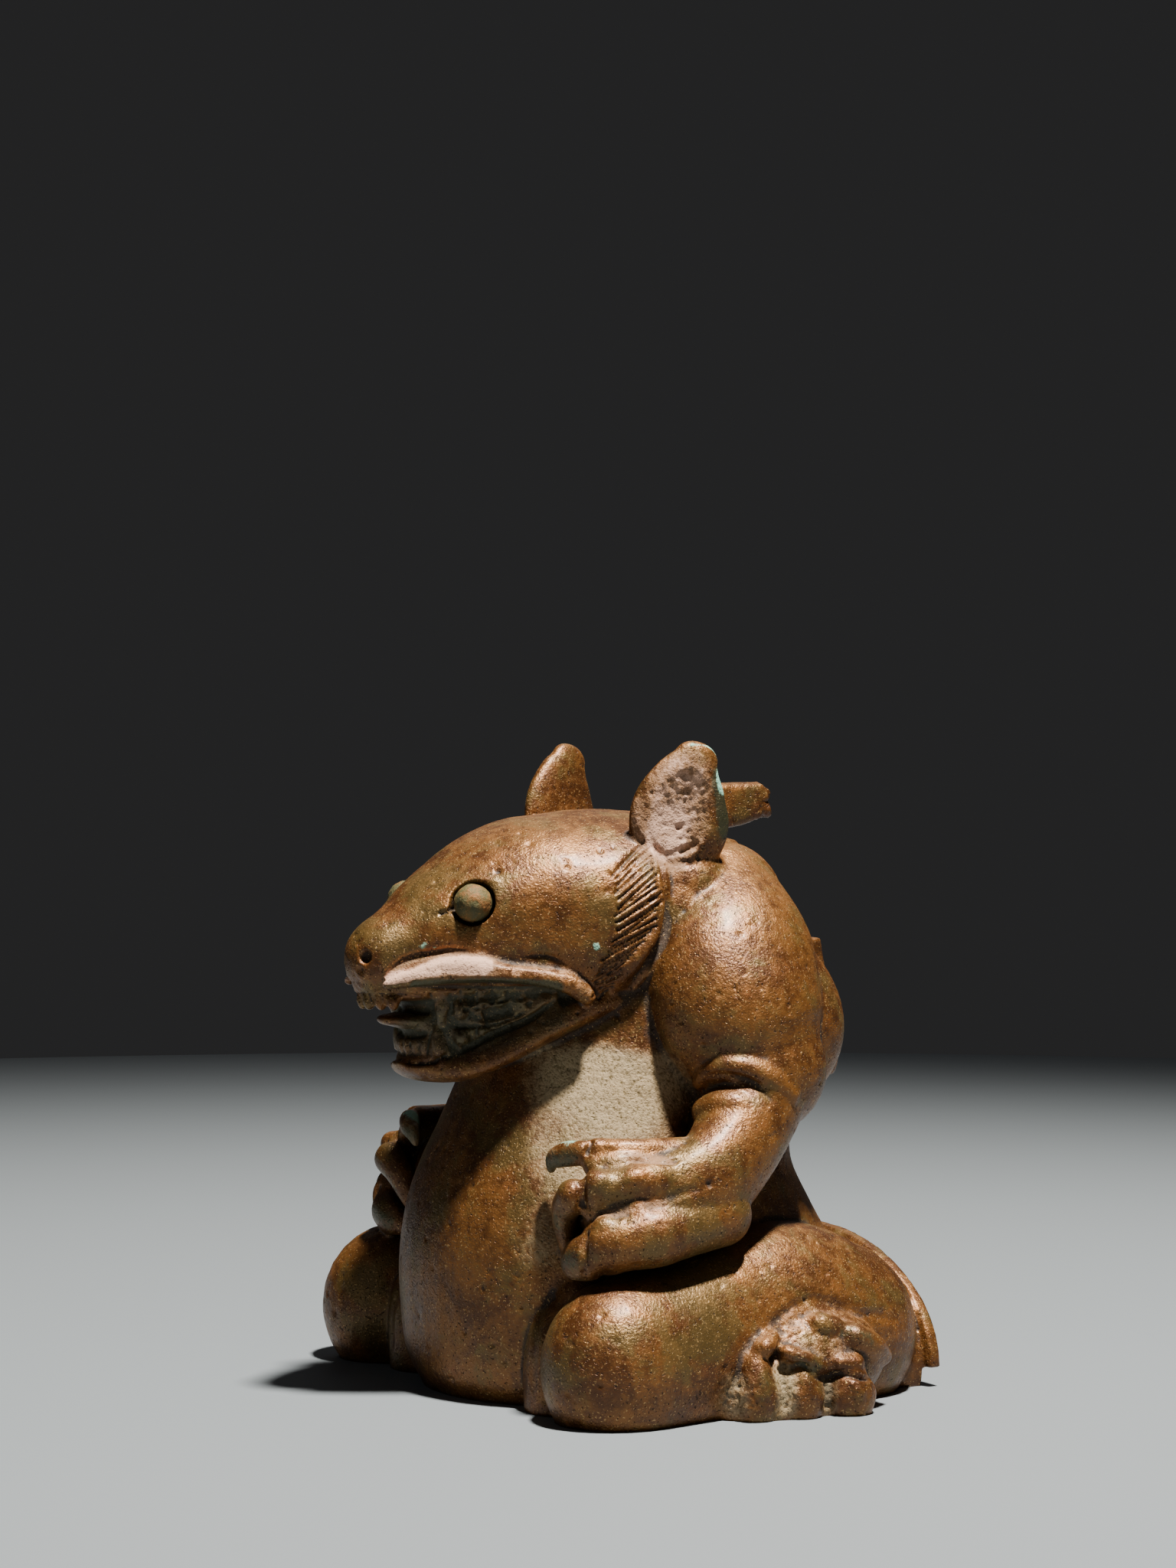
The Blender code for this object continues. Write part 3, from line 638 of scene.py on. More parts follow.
# Lines and spots that are worked into the skin on both sides. A line is its width, its depth and its points.
CREASES = (
    # inner corner of the eye
    (0.8, 0.7, ((10.2, -42.8, 93.2), (12.4, -46, 92.8), (11.1, -47.9, 91.9))),
    # behind the cheek fur, where the head lies over the shoulder
    (1.5, 0.9, ((22.9, -7.6, 104.6), (26.3, -7.6, 100.9), (27.8, -7.7, 97.3), (28, -7.4, 93.6),
        (28.2, -7.9, 89.5), (28.5, -9.4, 86.3), (28, -11.3, 83.3), (26.6, -13.3, 79.8), (24.5, -15.4, 77))),
    # round the upper lip
    (1.1, 0.7, ((5.8, -57.4, 79.6), (8, -55.4, 82.1), (9.4, -52.4, 84), (11.6, -49.2, 84.9),
        (14.6, -45.6, 85.5), (17.2, -42.4, 85), (19.6, -38.8, 83.9), (20.6, -35, 83.9), (22.4, -30.6, 84.1),
        (24.6, -26.6, 82.2), (26.2, -24.2, 79.8), (26.2, -22.9, 77.2))),
    # under the upper lip
    (0.7, 0.45, ((4, -57.6, 78), (8.6, -54.9, 78.2), (13, -46.2, 78.2), (18.2, -34.5, 78),
        (24, -27, 77.6))),
    # gum over the front teeth, and the gap under them
    (0.5, 0.3, ((0, -58.6, 77.1), (5, -56.6, 77), (7.8, -53.3, 76.9), (10, -49.7, 76.8))),
    (0.9, 0.9, ((0, -49.6, 73.4), (4, -48.5, 73.4), (7.2, -47.1, 73.6))),
    # under the tongue
    (0.9, 0.8, ((0, -49.6, 68.8), (3.4, -48.5, 68.8), (6.4, -47.3, 69.4))),
    # sides of the canines
    (0.5, 0.5, ((11, -49.2, 77.5), (9.5, -48.1, 75.1), (9.8, -47.8, 72.7))),
    (0.5, 0.6, ((12.4, -45.7, 77.1), (11.8, -45.1, 74.5), (10.9, -45.2, 72.5))),
    (0.5, 0.6, ((8.4, -47.5, 71.2), (6.8, -47.3, 68.5), (6.2, -47.6, 64.8))),
    (0.5, 0.6, ((10.3, -46.5, 70.6), (10.7, -45.8, 68), (10.6, -45.5, 65.6))),
    # between the front teeth
    (0.45, 0.45, ((0, -49.6, 67.4), (0, -50, 64.6))),
    (0.45, 0.45, ((2.4, -49.2, 67.2), (2.6, -49.6, 64.6))),
    (0.45, 0.45, ((4.6, -48.4, 66.8), (4.8, -48.8, 64.4))),
    (0.45, 0.4, ((0, -58.4, 76.8), (0, -58, 74.4))),
    (0.45, 0.4, ((2.6, -57.8, 76.8), (2.6, -57, 74.4))),
    (0.45, 0.4, ((5, -56.4, 76.6), (4.8, -55.6, 74.4))),
    # gaps under and between the upper cheek teeth
    (0.6, 0.6, ((12, -44.6, 73.9), (13.3, -42.4, 74.1), (14.6, -40.4, 74.4), (16.6, -36.6, 75.9),
        (18.6, -32.4, 76.2))),
    (0.45, 0.45, ((13.4, -44, 77.6), (12.8, -43.6, 75))),
    (0.45, 0.45, ((14.6, -41.3, 77.5), (13.9, -40.8, 75))),
    (0.45, 0.45, ((15.7, -38.6, 77.4), (14.9, -38.1, 75.4))),
    (0.45, 0.45, ((16.9, -35.8, 77.3), (16.6, -35.6, 76))),
    # dark hollow in the middle of the jaws
    (2.1, 1.3, ((14.2, -39.9, 72.4), (15.6, -37.6, 73), (17.2, -34.4, 74))),
    (0.9, 0.6, ((18.3, -32.3, 75.1), (18.5, -32, 75.1))),
    # over and between the lower cheek teeth
    (0.6, 0.6, ((10.6, -45, 70.7), (12.4, -42.5, 70.9), (14.3, -38.4, 70.9), (16.3, -35.1, 72),
        (18.4, -31.9, 74))),
    (0.45, 0.5, ((12.2, -43.4, 70.2), (11.2, -42.9, 66.6))),
    (0.45, 0.5, ((13.2, -40.6, 70.2), (12.6, -40.1, 67.6))),
    (0.45, 0.5, ((14.6, -37.7, 70.6), (14, -37.6, 69))),
    (0.45, 0.5, ((16.4, -34.8, 71.8), (15.9, -34.9, 70.2))),
    # between the teeth and the lower lip
    (0.9, 1.2, ((0, -50.4, 63.9), (4.2, -49.5, 63.9), (7.7, -47.2, 64.3), (10.2, -44.8, 65.3),
        (11.6, -41.7, 66.7), (13.3, -39, 68.4), (15.1, -36.3, 69.9), (17, -33.7, 71.2), (18.9, -31.1, 72.9),
        (20.8, -27.4, 75.9))),
    # over and under the roll of skin at the elbow
    (1.6, 0.35, ((39.6, -6.8, 65.6), (41.8, -5, 66.8), (44.1, -1.9, 67.4), (45.3, 2.2, 66.4),
        (46.6, 5.6, 64.6), (47.6, 8, 62.2))),
    (1.2, 0.5, ((37, -6.6, 60.9), (39.4, -5.7, 61.7), (42, -3.1, 62.1), (44.1, 0.7, 61), (46, 3.4, 58.6),
        (46.8, 5.2, 56.2))),
    # between the thumb and the first finger, and between the fingers
    (0.9, 0.5, ((40, -27.2, 46.4), (42.6, -24.4, 47.2), (45.2, -21.4, 47.4), (46.5, -18.4, 47.4),
        (46.7, -15.4, 47.8))),
    (1.2, 0.4, ((42.7, -32.3, 37.7), (43.6, -28.8, 38.8), (45.4, -25.3, 39.7), (47.4, -21, 40.5),
        (49.4, -16.7, 41.8), (50.2, -11.7, 43))),
    # where the claws leave the fingers
    (1.2, 0.7, ((40.4, -32.8, 45.4), (41.3, -33.6, 43.6), (41.5, -33.7, 41), (41, -33.4, 38.4))),
    (1.3, 0.8, ((42.6, -33.6, 36), (43.4, -33.9, 33.6), (43.4, -33.9, 30.4), (42.8, -33.6, 26.6))),
    (0.8, 0.8, ((36.9, -29, 51.2), (37.9, -30.3, 49.8), (37.6, -30.4, 48.2))),
    # over the toes
    (1, 1, ((54.8, -8, 9.6), (55.7, -6.6, 11.3), (56.8, -4.9, 12), (57.2, -2.6, 10.6), (56, 1, 9.2),
        (57.1, 2.2, 9.6), (58.3, 3.9, 9.6), (58.9, 6.2, 7.9), (57.1, 9.8, 6.9), (57.8, 10.6, 7.6),
        (59.7, 12.6, 7.7), (60.2, 16, 7), (57.6, 20.6, 6.4), (54.6, 23.6, 5.4))),
    # between the toes
    (1, 0.6, ((55.8, 0.7, 8.8), (57, 0.2, 5.8), (57.2, 0, 1.6))),
    (1, 0.7, ((57.1, 9.6, 6.4), (57.6, 9.4, 3.9), (57.3, 9.3, 0.9))),
    # round the foot, where it lies on the haunch
    (1.4, 0.45, ((54.6, -8.4, 11.6), (54.2, -3, 16), (51.4, 2.4, 17.8), (50.6, 5.6, 19.4), (50.2, 10, 20.5),
        (50.2, 14.4, 19.8), (50.4, 20.6, 17.6), (48, 27.5, 16.1), (46.2, 33.5, 13.7))),
    # between the belly and the thigh
    (1.8, 0.5, ((28.6, -32.4, 24), (29.1, -35.4, 17), (29.4, -36.4, 10), (29.2, -36.6, 3))),
    # in front of the rim
    (1, 1, ((30, 43.2, 20), (35.4, 43.2, 16.6), (38.6, 43.2, 13), (40.4, 43.2, 9), (41, 43.2, 4))),
    # the foot of the ear's hollow
    (1.3, 0.8, ((25.4, -7.4, 102.6), (25.8, -4, 103.4), (25.8, -1, 104.4), (25.4, 2.2, 105),
        (24, 5.4, 105))),
)
RIDGES = (
    # rear edge of the cheek fur, running down from the front of the ear
    (1.2, 0.5, ((23.2, -11.5, 111.6), (23.4, -10.4, 107.4), (24.2, -9, 103.9), (26.6, -9, 100.7),
        (28.1, -9.1, 97), (28.5, -9.2, 92.6), (28.6, -10.2, 88.4), (28.1, -13.1, 84.2),
        (26.6, -15.7, 80.5))),
    # rolled lower edge of the upper lip
    (0.9, 0.2, ((8.6, -55.6, 79.2), (13.6, -50.6, 80.4), (17, -45.4, 80.4), (20.2, -39.6, 80.2),
        (23.4, -32.4, 79.9))),
    # top of the upper fold at the elbow
    (1.3, 0.15, ((39.6, -6.6, 63.4), (41.6, -5.2, 64.8), (43.4, -2.6, 65.4), (45.4, 0.6, 64.4),
        (47, 4, 62.6))),
    # knuckles and the heads of the fingers
    (2.4, 0.6, ((43.4, -31.9, 44.5), (43.6, -31.5, 44.6))),
    (2.4, 0.5, ((46.4, -25.6, 45.3), (46.4, -25.2, 45.3))),
    (2.2, 0.6, ((44.8, -31.2, 36.8), (44.9, -30.9, 36.8))),
    (2.2, 0.5, ((46.8, -25, 38.7), (46.9, -24.7, 38.7))),
    (1.3, 0.3, ((40.2, -26.9, 50.2), (40.4, -26.5, 50.2))),
    # tops of the toes
    (1.3, 0.4, ((57.6, -4.6, 10.6), (58.4, -4.2, 7), (58.4, -4, 4))),
    (1.3, 0.4, ((59, 4.2, 8.8), (60, 4.6, 6), (60, 4.8, 3.6))),
    (1.4, 0.4, ((60.2, 13, 7), (61.2, 13.8, 5), (61.2, 14.2, 3.2))),
    # upper rims of the sockets
    (0.9, 0.25, ((16.6, -37, 96.6), (15.6, -38.2, 98.4), (12.4, -42, 98.8), (10, -46, 97.6),
        (9.2, -47.2, 94.6))),
)
PITS = (
    # radius, depth and place: brow, temple, nostril's lower edge, ear cup, wrist, toes and a claw
    (0.9, 0.5, (15, -36.9, 100.1)),
    (1, 0.35, (14.4, -29.9, 105.1)),
    (1.1, 0.6, (3.4, -60, 81.4)),
    (1.5, 0.9, (25.4, -2.2, 118.2)),
    (1.2, 0.8, (25.2, -1.4, 115)),
    (1, 0.6, (25.2, -3.2, 108.3)),
    (0.9, 0.6, (25.2, -8.2, 113)),
    (0.8, 0.6, (25.2, 0.6, 111.4)),
    (1, 0.35, (50, -11.8, 43.2)),
    (1.3, 0.9, (55.6, 0.8, 9.2)),
    (1, 0.8, (57, 9.8, 6.8)),
    (0.8, 0.5, (44.9, -33.2, 32.2)),
)
ROUGH_SPOTS = (
    # radius, height of the grain, its size and place
    (8, 0.26, 1.2, (25.4, -2.6, 113)),
    (4.5, 0.5, 1.5, (25.4, -1, 104.4)),
    (13, 0.12, 1.2, (24, -18, 60)),
    (4.6, 0.34, 1.2, (57, 0.4, 5)),
    (5, 0.36, 1.3, (55.4, -8.6, 5)),
    (3.4, 0.3, 1.2, (57.6, 9.6, 3.4)),
    (8, 0.2, 1.2, (54, 6, 14)),
    (4.6, 0.22, 1.2, (59, 15, 4)),
    (5.5, 0.5, 1.8, (0, 29.6, 112.4)),
    (8, 0.13, 1, (15, -40, 72)),
    (5, 0.16, 1.1, (3, -58.5, 79)),
    (2.6, 0.3, 1.1, (24.6, -24.6, 78.8)),
)
FUR_OUTER = (
    (23, -9.9, 106.1), (24.4, -9.2, 103.5), (26.4, -9.5, 101), (28.3, -9.6, 96.4), (28.6, -10, 92.3),
    (28.6, -11.7, 88.6), (28.1, -14.2, 85), (27.1, -16.4, 82.2), (26, -17.4, 79.6), (24.8, -18, 77.4),
)
FUR_INNER = (
    (25, -17.2, 100.2), (26.1, -17.7, 97.4), (27.2, -17.9, 93.6), (27.4, -18.1, 89.9), (27, -19, 86.2),
    (26.4, -20.2, 83.3), (25.5, -21, 80.7), (24.9, -21.9, 78), (24.6, -23, 75.2), (24.4, -24, 73.8),
)


def vectors(items, name):
    """One vector of each item of a mesh, as rows of an array."""
    flat = np.empty(len(items) * 3)
    items.foreach_get(name, flat)
    return flat.reshape(-1, 3)


def spot(place):
    """A path that is hardly longer than a point."""
    return (place, tuple(np.array(place) + 0.01))


def figure_places(mesh):
    """The mesh's points in figure units, as rows of an array."""
    return vectors(mesh.vertices, "co") / UNIT - (0, FIGURE_AXIS_Y, 0)


def beside(places, path, reach):
    """Which places lie within reach of a smooth path, how far off they are and how far along it."""
    path = through(path, LINE_STEPS) if len(path) > 2 else np.array(path, float)
    near = np.all((places > path.min(0) - reach) & (places < path.max(0) + reach), axis=1)
    rows = np.nonzero(near)[0]
    chosen = places[rows]
    lengths = np.linalg.norm(np.diff(path, axis=0), axis=1)
    total = lengths.sum()
    best = np.full(len(rows), np.inf)
    share = np.zeros(len(rows))
    gone = 0.0
    for a, b, length in zip(path, path[1:], lengths):
        along = np.clip((chosen - a) @ (b - a) / length**2, 0, 1)
        off = np.linalg.norm(chosen - a - along[:, None] * (b - a), axis=1)
        closer = off < best
        best[closer] = off[closer]
        share[closer] = (gone + along[closer] * length) / total
        gone += length
    inside = best < reach
    return rows[inside], best[inside], share[inside]


def grain(places, size, seed):
    """Smooth noise of about -1 to 1 at each place, with swellings of the given size."""
    shift = Vector((seed * 17.3, seed * 5.9, seed * 11.1))
    return np.array([noise.noise(Vector(p) / size + shift) for p in places.tolist()])


class Skin:
    """The bear's skin in figure units, which tools press in or build up on both sides alike."""

    def __init__(self, mesh):
        self.mesh = mesh
        self.points = vectors(mesh.vertices, "co")
        self.settle()

    def settle(self):
        """Writes the points back and looks again which way the surface faces."""
        self.mesh.vertices.foreach_set("co", self.points.ravel())
        self.mesh.update()
        self.outward = vectors(self.mesh.vertex_normals, "vector")

    def move(self, rows, heights):
        self.points[rows] += self.outward[rows] * heights[:, None]

    def line(self, width, depth, path, sharpness=1.5, fade=0.12):
        """Presses a groove along a path, or raises a ridge if the depth is negative."""
        for side in (1, -1):
            rows, off, share = beside(self.points * (side, 1, 1), path, width)
            shape = (1 - (off / width) ** 2) ** sharpness
            ends = np.clip(np.minimum(share, 1 - share) / fade, 0.25, 1) if len(path) > 2 else 1
            self.move(rows, -depth * shape * ends)

    def pit(self, radius, depth, place):
        self.line(radius, depth, spot(place))

    def roughen(self, radius, height, size, place, seed):
        """Leaves a coarse grain round a place."""
        for side in (1, -1):
            rows, off, _ = beside(self.points * (side, 1, 1), spot(place), radius)
            coarse = grain(self.points[rows], size, seed)
            fine = grain(self.points[rows], size * 0.5, seed + 1)
            self.move(rows, (coarse + 0.6 * fine) * height * (1 - (off / radius) ** 3))

    def scatter_pits(self, count, seed):
        """Small casting pits all over, each of its own width and depth."""
        draw = np.random.default_rng(seed)
        tree = KDTree(len(self.points))
        for row, place in enumerate(self.points.tolist()):
            tree.insert(place, row)
        tree.balance()
        for row in draw.integers(0, len(self.points), count):
            radius = draw.uniform(*PIT_RADII)
            depth = draw.uniform(*PIT_DEPTHS)
            found = tree.find_range(self.points[row].tolist(), radius)
            rows = np.array([item[1] for item in found])
            off = np.array([item[2] for item in found])
            self.move(rows, -depth * (1 - (off / radius) ** 2))


def worked_skin(mesh, settings):
    """Works the finer shapes into the skin, then the unevenness and the pits of the casting."""
    skin = Skin(mesh)
    for width, depth, path in CREASES:
        skin.line(width, depth, path)
    skin.settle()
    for width, height, path in RIDGES:
        skin.line(width, -height, path, sharpness=1.2)
    for radius, depth, place in PITS:
        skin.pit(radius, depth, place)
    skin.settle()
    everywhere = np.arange(len(skin.points))
    uneven = settings.unevenness / UNIT
    waves = sum(share * grain(skin.points, size, seed) for share, size, seed in WAVES)
    skin.move(everywhere, waves * uneven)
    for seed, (radius, height, size, place) in enumerate(ROUGH_SPOTS, FIRST_GRAIN_SEED):
        skin.roughen(radius, height, size, place, seed)
    skin.scatter_pits(settings.pits, PIT_SEED)
    low = skin.points[:, 2] < FLOOR_REACH
    heights = np.maximum(skin.points[low, 2], 0)
    skin.points[low, 2] = np.where(skin.outward[low, 2] < FACING_DOWN, 0.0, heights)
    skin.settle()


class Value:
    """A node's output that Python arithmetic works on, by adding Math nodes to its tree."""

    def __init__(self, nodes, socket):
        self.nodes = nodes
        self.socket = socket

    def maths(self, operation, *others):
        sockets = dict(enumerate((self, *others)))
        return self.nodes.add("ShaderNodeMath", {"operation": operation}, sockets)

    def __add__(self, other):
        return self.maths("ADD", other)

    def __radd__(self, other):
        return self.maths("ADD", other)

    def __sub__(self, other):
        return self.maths("SUBTRACT", other)

    def __rsub__(self, other):
        return self.nodes.add("ShaderNodeMath", {"operation": "SUBTRACT"}, {0: other, 1: self})

    def __mul__(self, other):
        return self.maths("MULTIPLY", other)

    def __truediv__(self, other):
        return self.maths("DIVIDE", other)

    def clamped(self):
        return self.maths("MAXIMUM", 0.0).maths("MINIMUM", 1.0)

    def between(self, low, high):
        """0 below the low value and 1 over the high one, with a soft step from one to the other."""
        settings = {"interpolation_type": "SMOOTHSTEP"}
        return self.nodes.add("ShaderNodeMapRange", settings, {0: self, 1: low, 2: high, 3: 0.0, 4: 1.0})


class Nodes:
    """A node tree that is being written."""

    def __init__(self, tree):
        self.tree = tree

    def add(self, kind, settings=None, sockets=None, output=0):
        """Adds a node with its settings, and links or sets its sockets. Gives back one of its outputs."""
        node = self.tree.nodes.new(kind)
        for name, setting in (settings or {}).items():
            setattr(node, name, setting)
        self.feed(node, sockets or {})
        return Value(self, node.outputs[output])

    def feed(self, node, sockets):
        """Links a node's sockets to values, or sets them."""
        for name, given in sockets.items():
            if isinstance(given, Value):
                self.tree.links.new(given.socket, node.inputs[name])
            else:
                node.inputs[name].default_value = given

    def vector_maths(self, operation, sockets, output=0):
        return self.add("ShaderNodeVectorMath", {"operation": operation}, sockets, output)

    def noise(self, place, scale, detail=3.0, roughness=0.5, shift=0.0):
        sockets = {"Vector": place, "Scale": scale, "Detail": detail, "Roughness": roughness}
        if shift:
            sockets["Vector"] = self.vector_maths("ADD", {0: place, 1: (shift, shift, shift)})
        return self.add("ShaderNodeTexNoise", None, sockets)

    def mix(self, factor, first, second):
        """A colour between two others."""
        colours = [c if isinstance(c, Value) else (*c, 1) for c in (first, second)]
        sockets = {0: factor, 6: colours[0], 7: colours[1]}
        return self.add("ShaderNodeMix", {"data_type": "RGBA"}, sockets, output=2)

    def bump(self, strength, height):
        sockets = {"Strength": strength, "Distance": BUMP_HEIGHT, "Height": height}
        return self.add("ShaderNodeBump", None, sockets)

    def painted(self, name):
        """A number that is kept at each corner of the mesh."""
        return self.add("ShaderNodeAttribute", {"attribute_name": name}, output=2)


def guide(name, points):
    """A curve along a line of figure places, in metres, as a guide for chasing."""
    curve = bpy.data.curves.new(name, "CURVE")
    curve.dimensions = "3D"
    spline = curve.splines.new("POLY")
    places = (through(points, LINE_STEPS) + (0, FIGURE_AXIS_Y, 0)) * UNIT
    spline.points.add(len(places) - 1)
    spline.points.foreach_set("co", np.hstack([places, np.ones((len(places), 1))]).ravel())
    return placed(name, curve)


FUR_INPUTS = (
    ("Outer ends", "NodeSocketObject", None),
    ("Inner ends", "NodeSocketObject", None),
    ("Strokes", "NodeSocketInt", 33),
    ("Width", "NodeSocketFloat", 0.0004),
    ("Depth", "NodeSocketFloat", 0.00062),
    ("Raggedness", "NodeSocketFloat", 0.0006),
    ("Seed", "NodeSocketInt", 3),
    ("Material", "NodeSocketMaterial", None),
)


def fur_tree():
    """Chases slanting strokes into a surface, each from a point of one guide to a point of the other."""
    tree = bpy.data.node_groups.new("chased fur", "GeometryNodeTree")
    face = tree.interface
    face.new_socket("Geometry", in_out="INPUT", socket_type="NodeSocketGeometry")
    for name, kind, value in FUR_INPUTS:
        socket = face.new_socket(name, in_out="INPUT", socket_type=kind)
        if value is not None:
            socket.default_value = value
    face.new_socket("Geometry", in_out="OUTPUT", socket_type="NodeSocketGeometry")
    nodes = Nodes(tree)
    entry = tree.nodes.new("NodeGroupInput")
    given = {socket.name: Value(nodes, socket) for socket in entry.outputs if socket.name}

    def ends(name, shift):
        """Points spaced along a guide, each pushed a little way at random."""
        shape = nodes.add("GeometryNodeObjectInfo", None, {"Object": given[name]}, output=4)
        spots = nodes.add("GeometryNodeCurveToPoints", {"mode": "COUNT"}, {"Curve": shape, "Count": given["Strokes"]})
        push = nodes.add(
            "FunctionNodeRandomValue",
            {"data_type": "FLOAT_VECTOR"},
            {0: (-1.0, -1.0, -1.0), 1: (1.0, 1.0, 1.0), "Seed": given["Seed"] + shift},
        )
        push = nodes.vector_maths("SCALE", {0: push, "Scale": given["Raggedness"]})
        return nodes.add("GeometryNodeSetPosition", None, {"Geometry": spots, "Offset": push})

    outer, inner = ends("Outer ends", 0), ends("Inner ends", 1)
    position = nodes.add("GeometryNodeInputPosition")
    index = nodes.add("GeometryNodeInputIndex")
    partner = nodes.add(
        "GeometryNodeSampleIndex", {"data_type": "FLOAT_VECTOR"}, {"Geometry": inner, "Value": position, "Index": index}
    )
    reach = nodes.vector_maths("SUBTRACT", {0: partner, 1: position})
    length = nodes.vector_maths("LENGTH", {0: reach}, output=1)
    turn = nodes.add("FunctionNodeAlignRotationToVector", {"axis": "X"}, {"Vector": reach})
    line = nodes.add(
        "GeometryNodeMeshLine", {"mode": "END_POINTS"}, {"Count": 8, "Start Location": (0, 0, 0), "Offset": (1, 0, 0)}
    )
    strokes = nodes.add(
        "GeometryNodeInstanceOnPoints", None, {"Points": outer, "Instance": line, "Rotation": turn, "Scale": length}
    )
    strokes = nodes.add("GeometryNodeRealizeInstances", None, {"Geometry": strokes})
    laid = nodes.add(
        "GeometryNodeProximity", {"target_element": "FACES"}, {0: given["Geometry"], "Sample Position": position}
    )
    strokes = nodes.add("GeometryNodeSetPosition", None, {"Geometry": strokes, "Position": laid})
    twin = nodes.add("GeometryNodeTransform", None, {"Geometry": strokes, "Scale": (-1.0, 1.0, 1.0)})
    join = tree.nodes.new("GeometryNodeJoinGeometry")
    for side in (strokes, twin):
        tree.links.new(side.socket, join.inputs[0])
    both = Value(nodes, join.outputs[0])
    away = nodes.add("GeometryNodeProximity", {"target_element": "EDGES"}, {0: both, "Sample Position": position}, 1)
    share = 1 - away / given["Width"]
    cut = share.clamped() * given["Depth"]
    normal = nodes.add("GeometryNodeInputNormal")
    press = nodes.vector_maths("SCALE", {0: normal, "Scale": 0 - cut})
    chased = nodes.add("GeometryNodeSetPosition", None, {"Geometry": given["Geometry"], "Offset": press})
    chased = nodes.add("GeometryNodeRealizeInstances", None, {"Geometry": chased})
    chased = nodes.add("GeometryNodeSetMaterial", None, {"Geometry": chased, "Material": given["Material"]})
    end = tree.nodes.new("NodeGroupOutput")
    tree.links.new(chased.socket, end.inputs[0])
    return tree


def chase_fur(obj, settings, material):
    """Chases the slanting strokes of the cheek fur into the skin, on both cheeks."""
    guides = {"Outer ends": guide("fur outer ends", FUR_OUTER), "Inner ends": guide("fur inner ends", FUR_INNER)}
    tree = fur_tree()
    modifier = obj.modifiers.new("chased fur", "NODES")
    modifier.node_group = tree
    wanted = {
        **guides,
        "Strokes": settings.fur_strokes,
        "Width": settings.fur_width,
        "Depth": settings.fur_depth,
        "Material": material,
    }
    for item in tree.interface.items_tree:
        if item.in_out == "INPUT" and item.name in wanted:
            modifier[item.identifier] = wanted[item.name]
    mesh = applied(obj, "bear chased")
    obj.modifiers.remove(modifier)
    obj.data = mesh
    for curve in guides.values():
        bpy.data.objects.remove(curve)


def thinned(obj, faces):
    """Leaves the skin with the given number of triangles, and keeps the chased fur as fine as it is."""
    obj.data.calc_loop_triangles()
    middle = (np.array(FUR_OUTER) + FUR_INNER) / 2
    fur = zone(figure_places(obj.data), ((FUR_REACH, 1.0, middle),)) > 0
    plain = obj.vertex_groups.new(name="without fur")
    plain.add(np.nonzero(~fur)[0].tolist(), 1.0, "REPLACE")
    reduce = obj.modifiers.new("facets", "DECIMATE")
    reduce.vertex_group = plain.name
    reduce.vertex_group_factor = 0.0
    reduce.ratio = faces / len(obj.data.loop_triangles)
    mesh = applied(obj, "bear_skin")
    obj.modifiers.remove(reduce)
    obj.vertex_groups.clear()
    obj.data = mesh


LIP_LINE = (
    (8.2, -56.8, 79.6), (11, -52.8, 81.2), (14.8, -47, 82.6), (18, -41.4, 82.4), (20.6, -36.5, 81.8),
    (22.6, -31.2, 81.6), (24.6, -27, 80.4), (25.9, -24, 78),
)
CLAY_ZONES = (
    # where the pink burial clay still lies, as in the zones after it: width, strength and line
    (3.2, 1, LIP_LINE[:4]),
    (2.6, 0.55, LIP_LINE[3:]),
    # On the ear's hollow the clay is set pale, partly as painted light on the hollow's face.
    (7, 0.95, ((25.4, -6, 106), (25.4, -5, 109))),
    (8, 0.85, ((25.4, -5, 109), (25.8, -3, 117))),
    (2.6, 0.8, ((23.6, -11.6, 113), (23, -11, 109), (23.4, -9, 104.8))),
    (3.4, 0.75, ((22.4, -8, 104), (23.4, -3, 104.4), (24.4, 1, 105.8))),
    (6, 0.4, ((24, -2, 101), (24, 6, 100))),
    (3.6, 0.5, ((54.2, -4.6, 13.2), (53.4, 2.2, 16.4), (52.4, 7.8, 18), (52.4, 13.8, 17.4),
        (51.6, 22, 15))),
    (3, 0.5, ((56, 1, 12.6), (56, 7.4, 12.6), (57.2, 12.2, 12.4))),
    (2.2, 0.7, ((40, -27.2, 46.8), (43.4, -23, 47.6), (46, -18.4, 47.8))),
    (1.6, 0.6, ((43.4, -31.6, 37.2), (46.4, -25.3, 38.8), (48.4, -20.4, 39.8))),
    (5, 0.45, ((33, -8, 53), (40, -14, 51), (41, -22, 50.6))),
    (2.6, 0.55, ((26.4, -29, 48.8), (31, -27.6, 50.4))),
    (2.4, 0.55, ((0, -57, 75.6), (6, -54, 75.4), (9, -48, 75.4))),
)
SAND_ZONES = (
    # the yellow-grey crust on the chest and between the toes
    (11.5, 1, ((22, -21.6, 61.6), (26, -17.6, 57.6))),
    (9, 0.8, ((29.6, -12.6, 59), (28, -19, 53))),
    (9, 0.6, ((22, -27, 52), (26, -27, 46))),
    (5, 0.45, ((26, -30.6, 40), (25, -32.6, 30))),
    (2.6, 0.8, ((56, 0.6, 8), (57, 0.4, 3))),
    (2.4, 0.6, ((57.4, 9.8, 6), (57.4, 9.4, 2))),
    (3.2, 0.6, ((55, -8.8, 7), (54.6, -9, 3))),
)
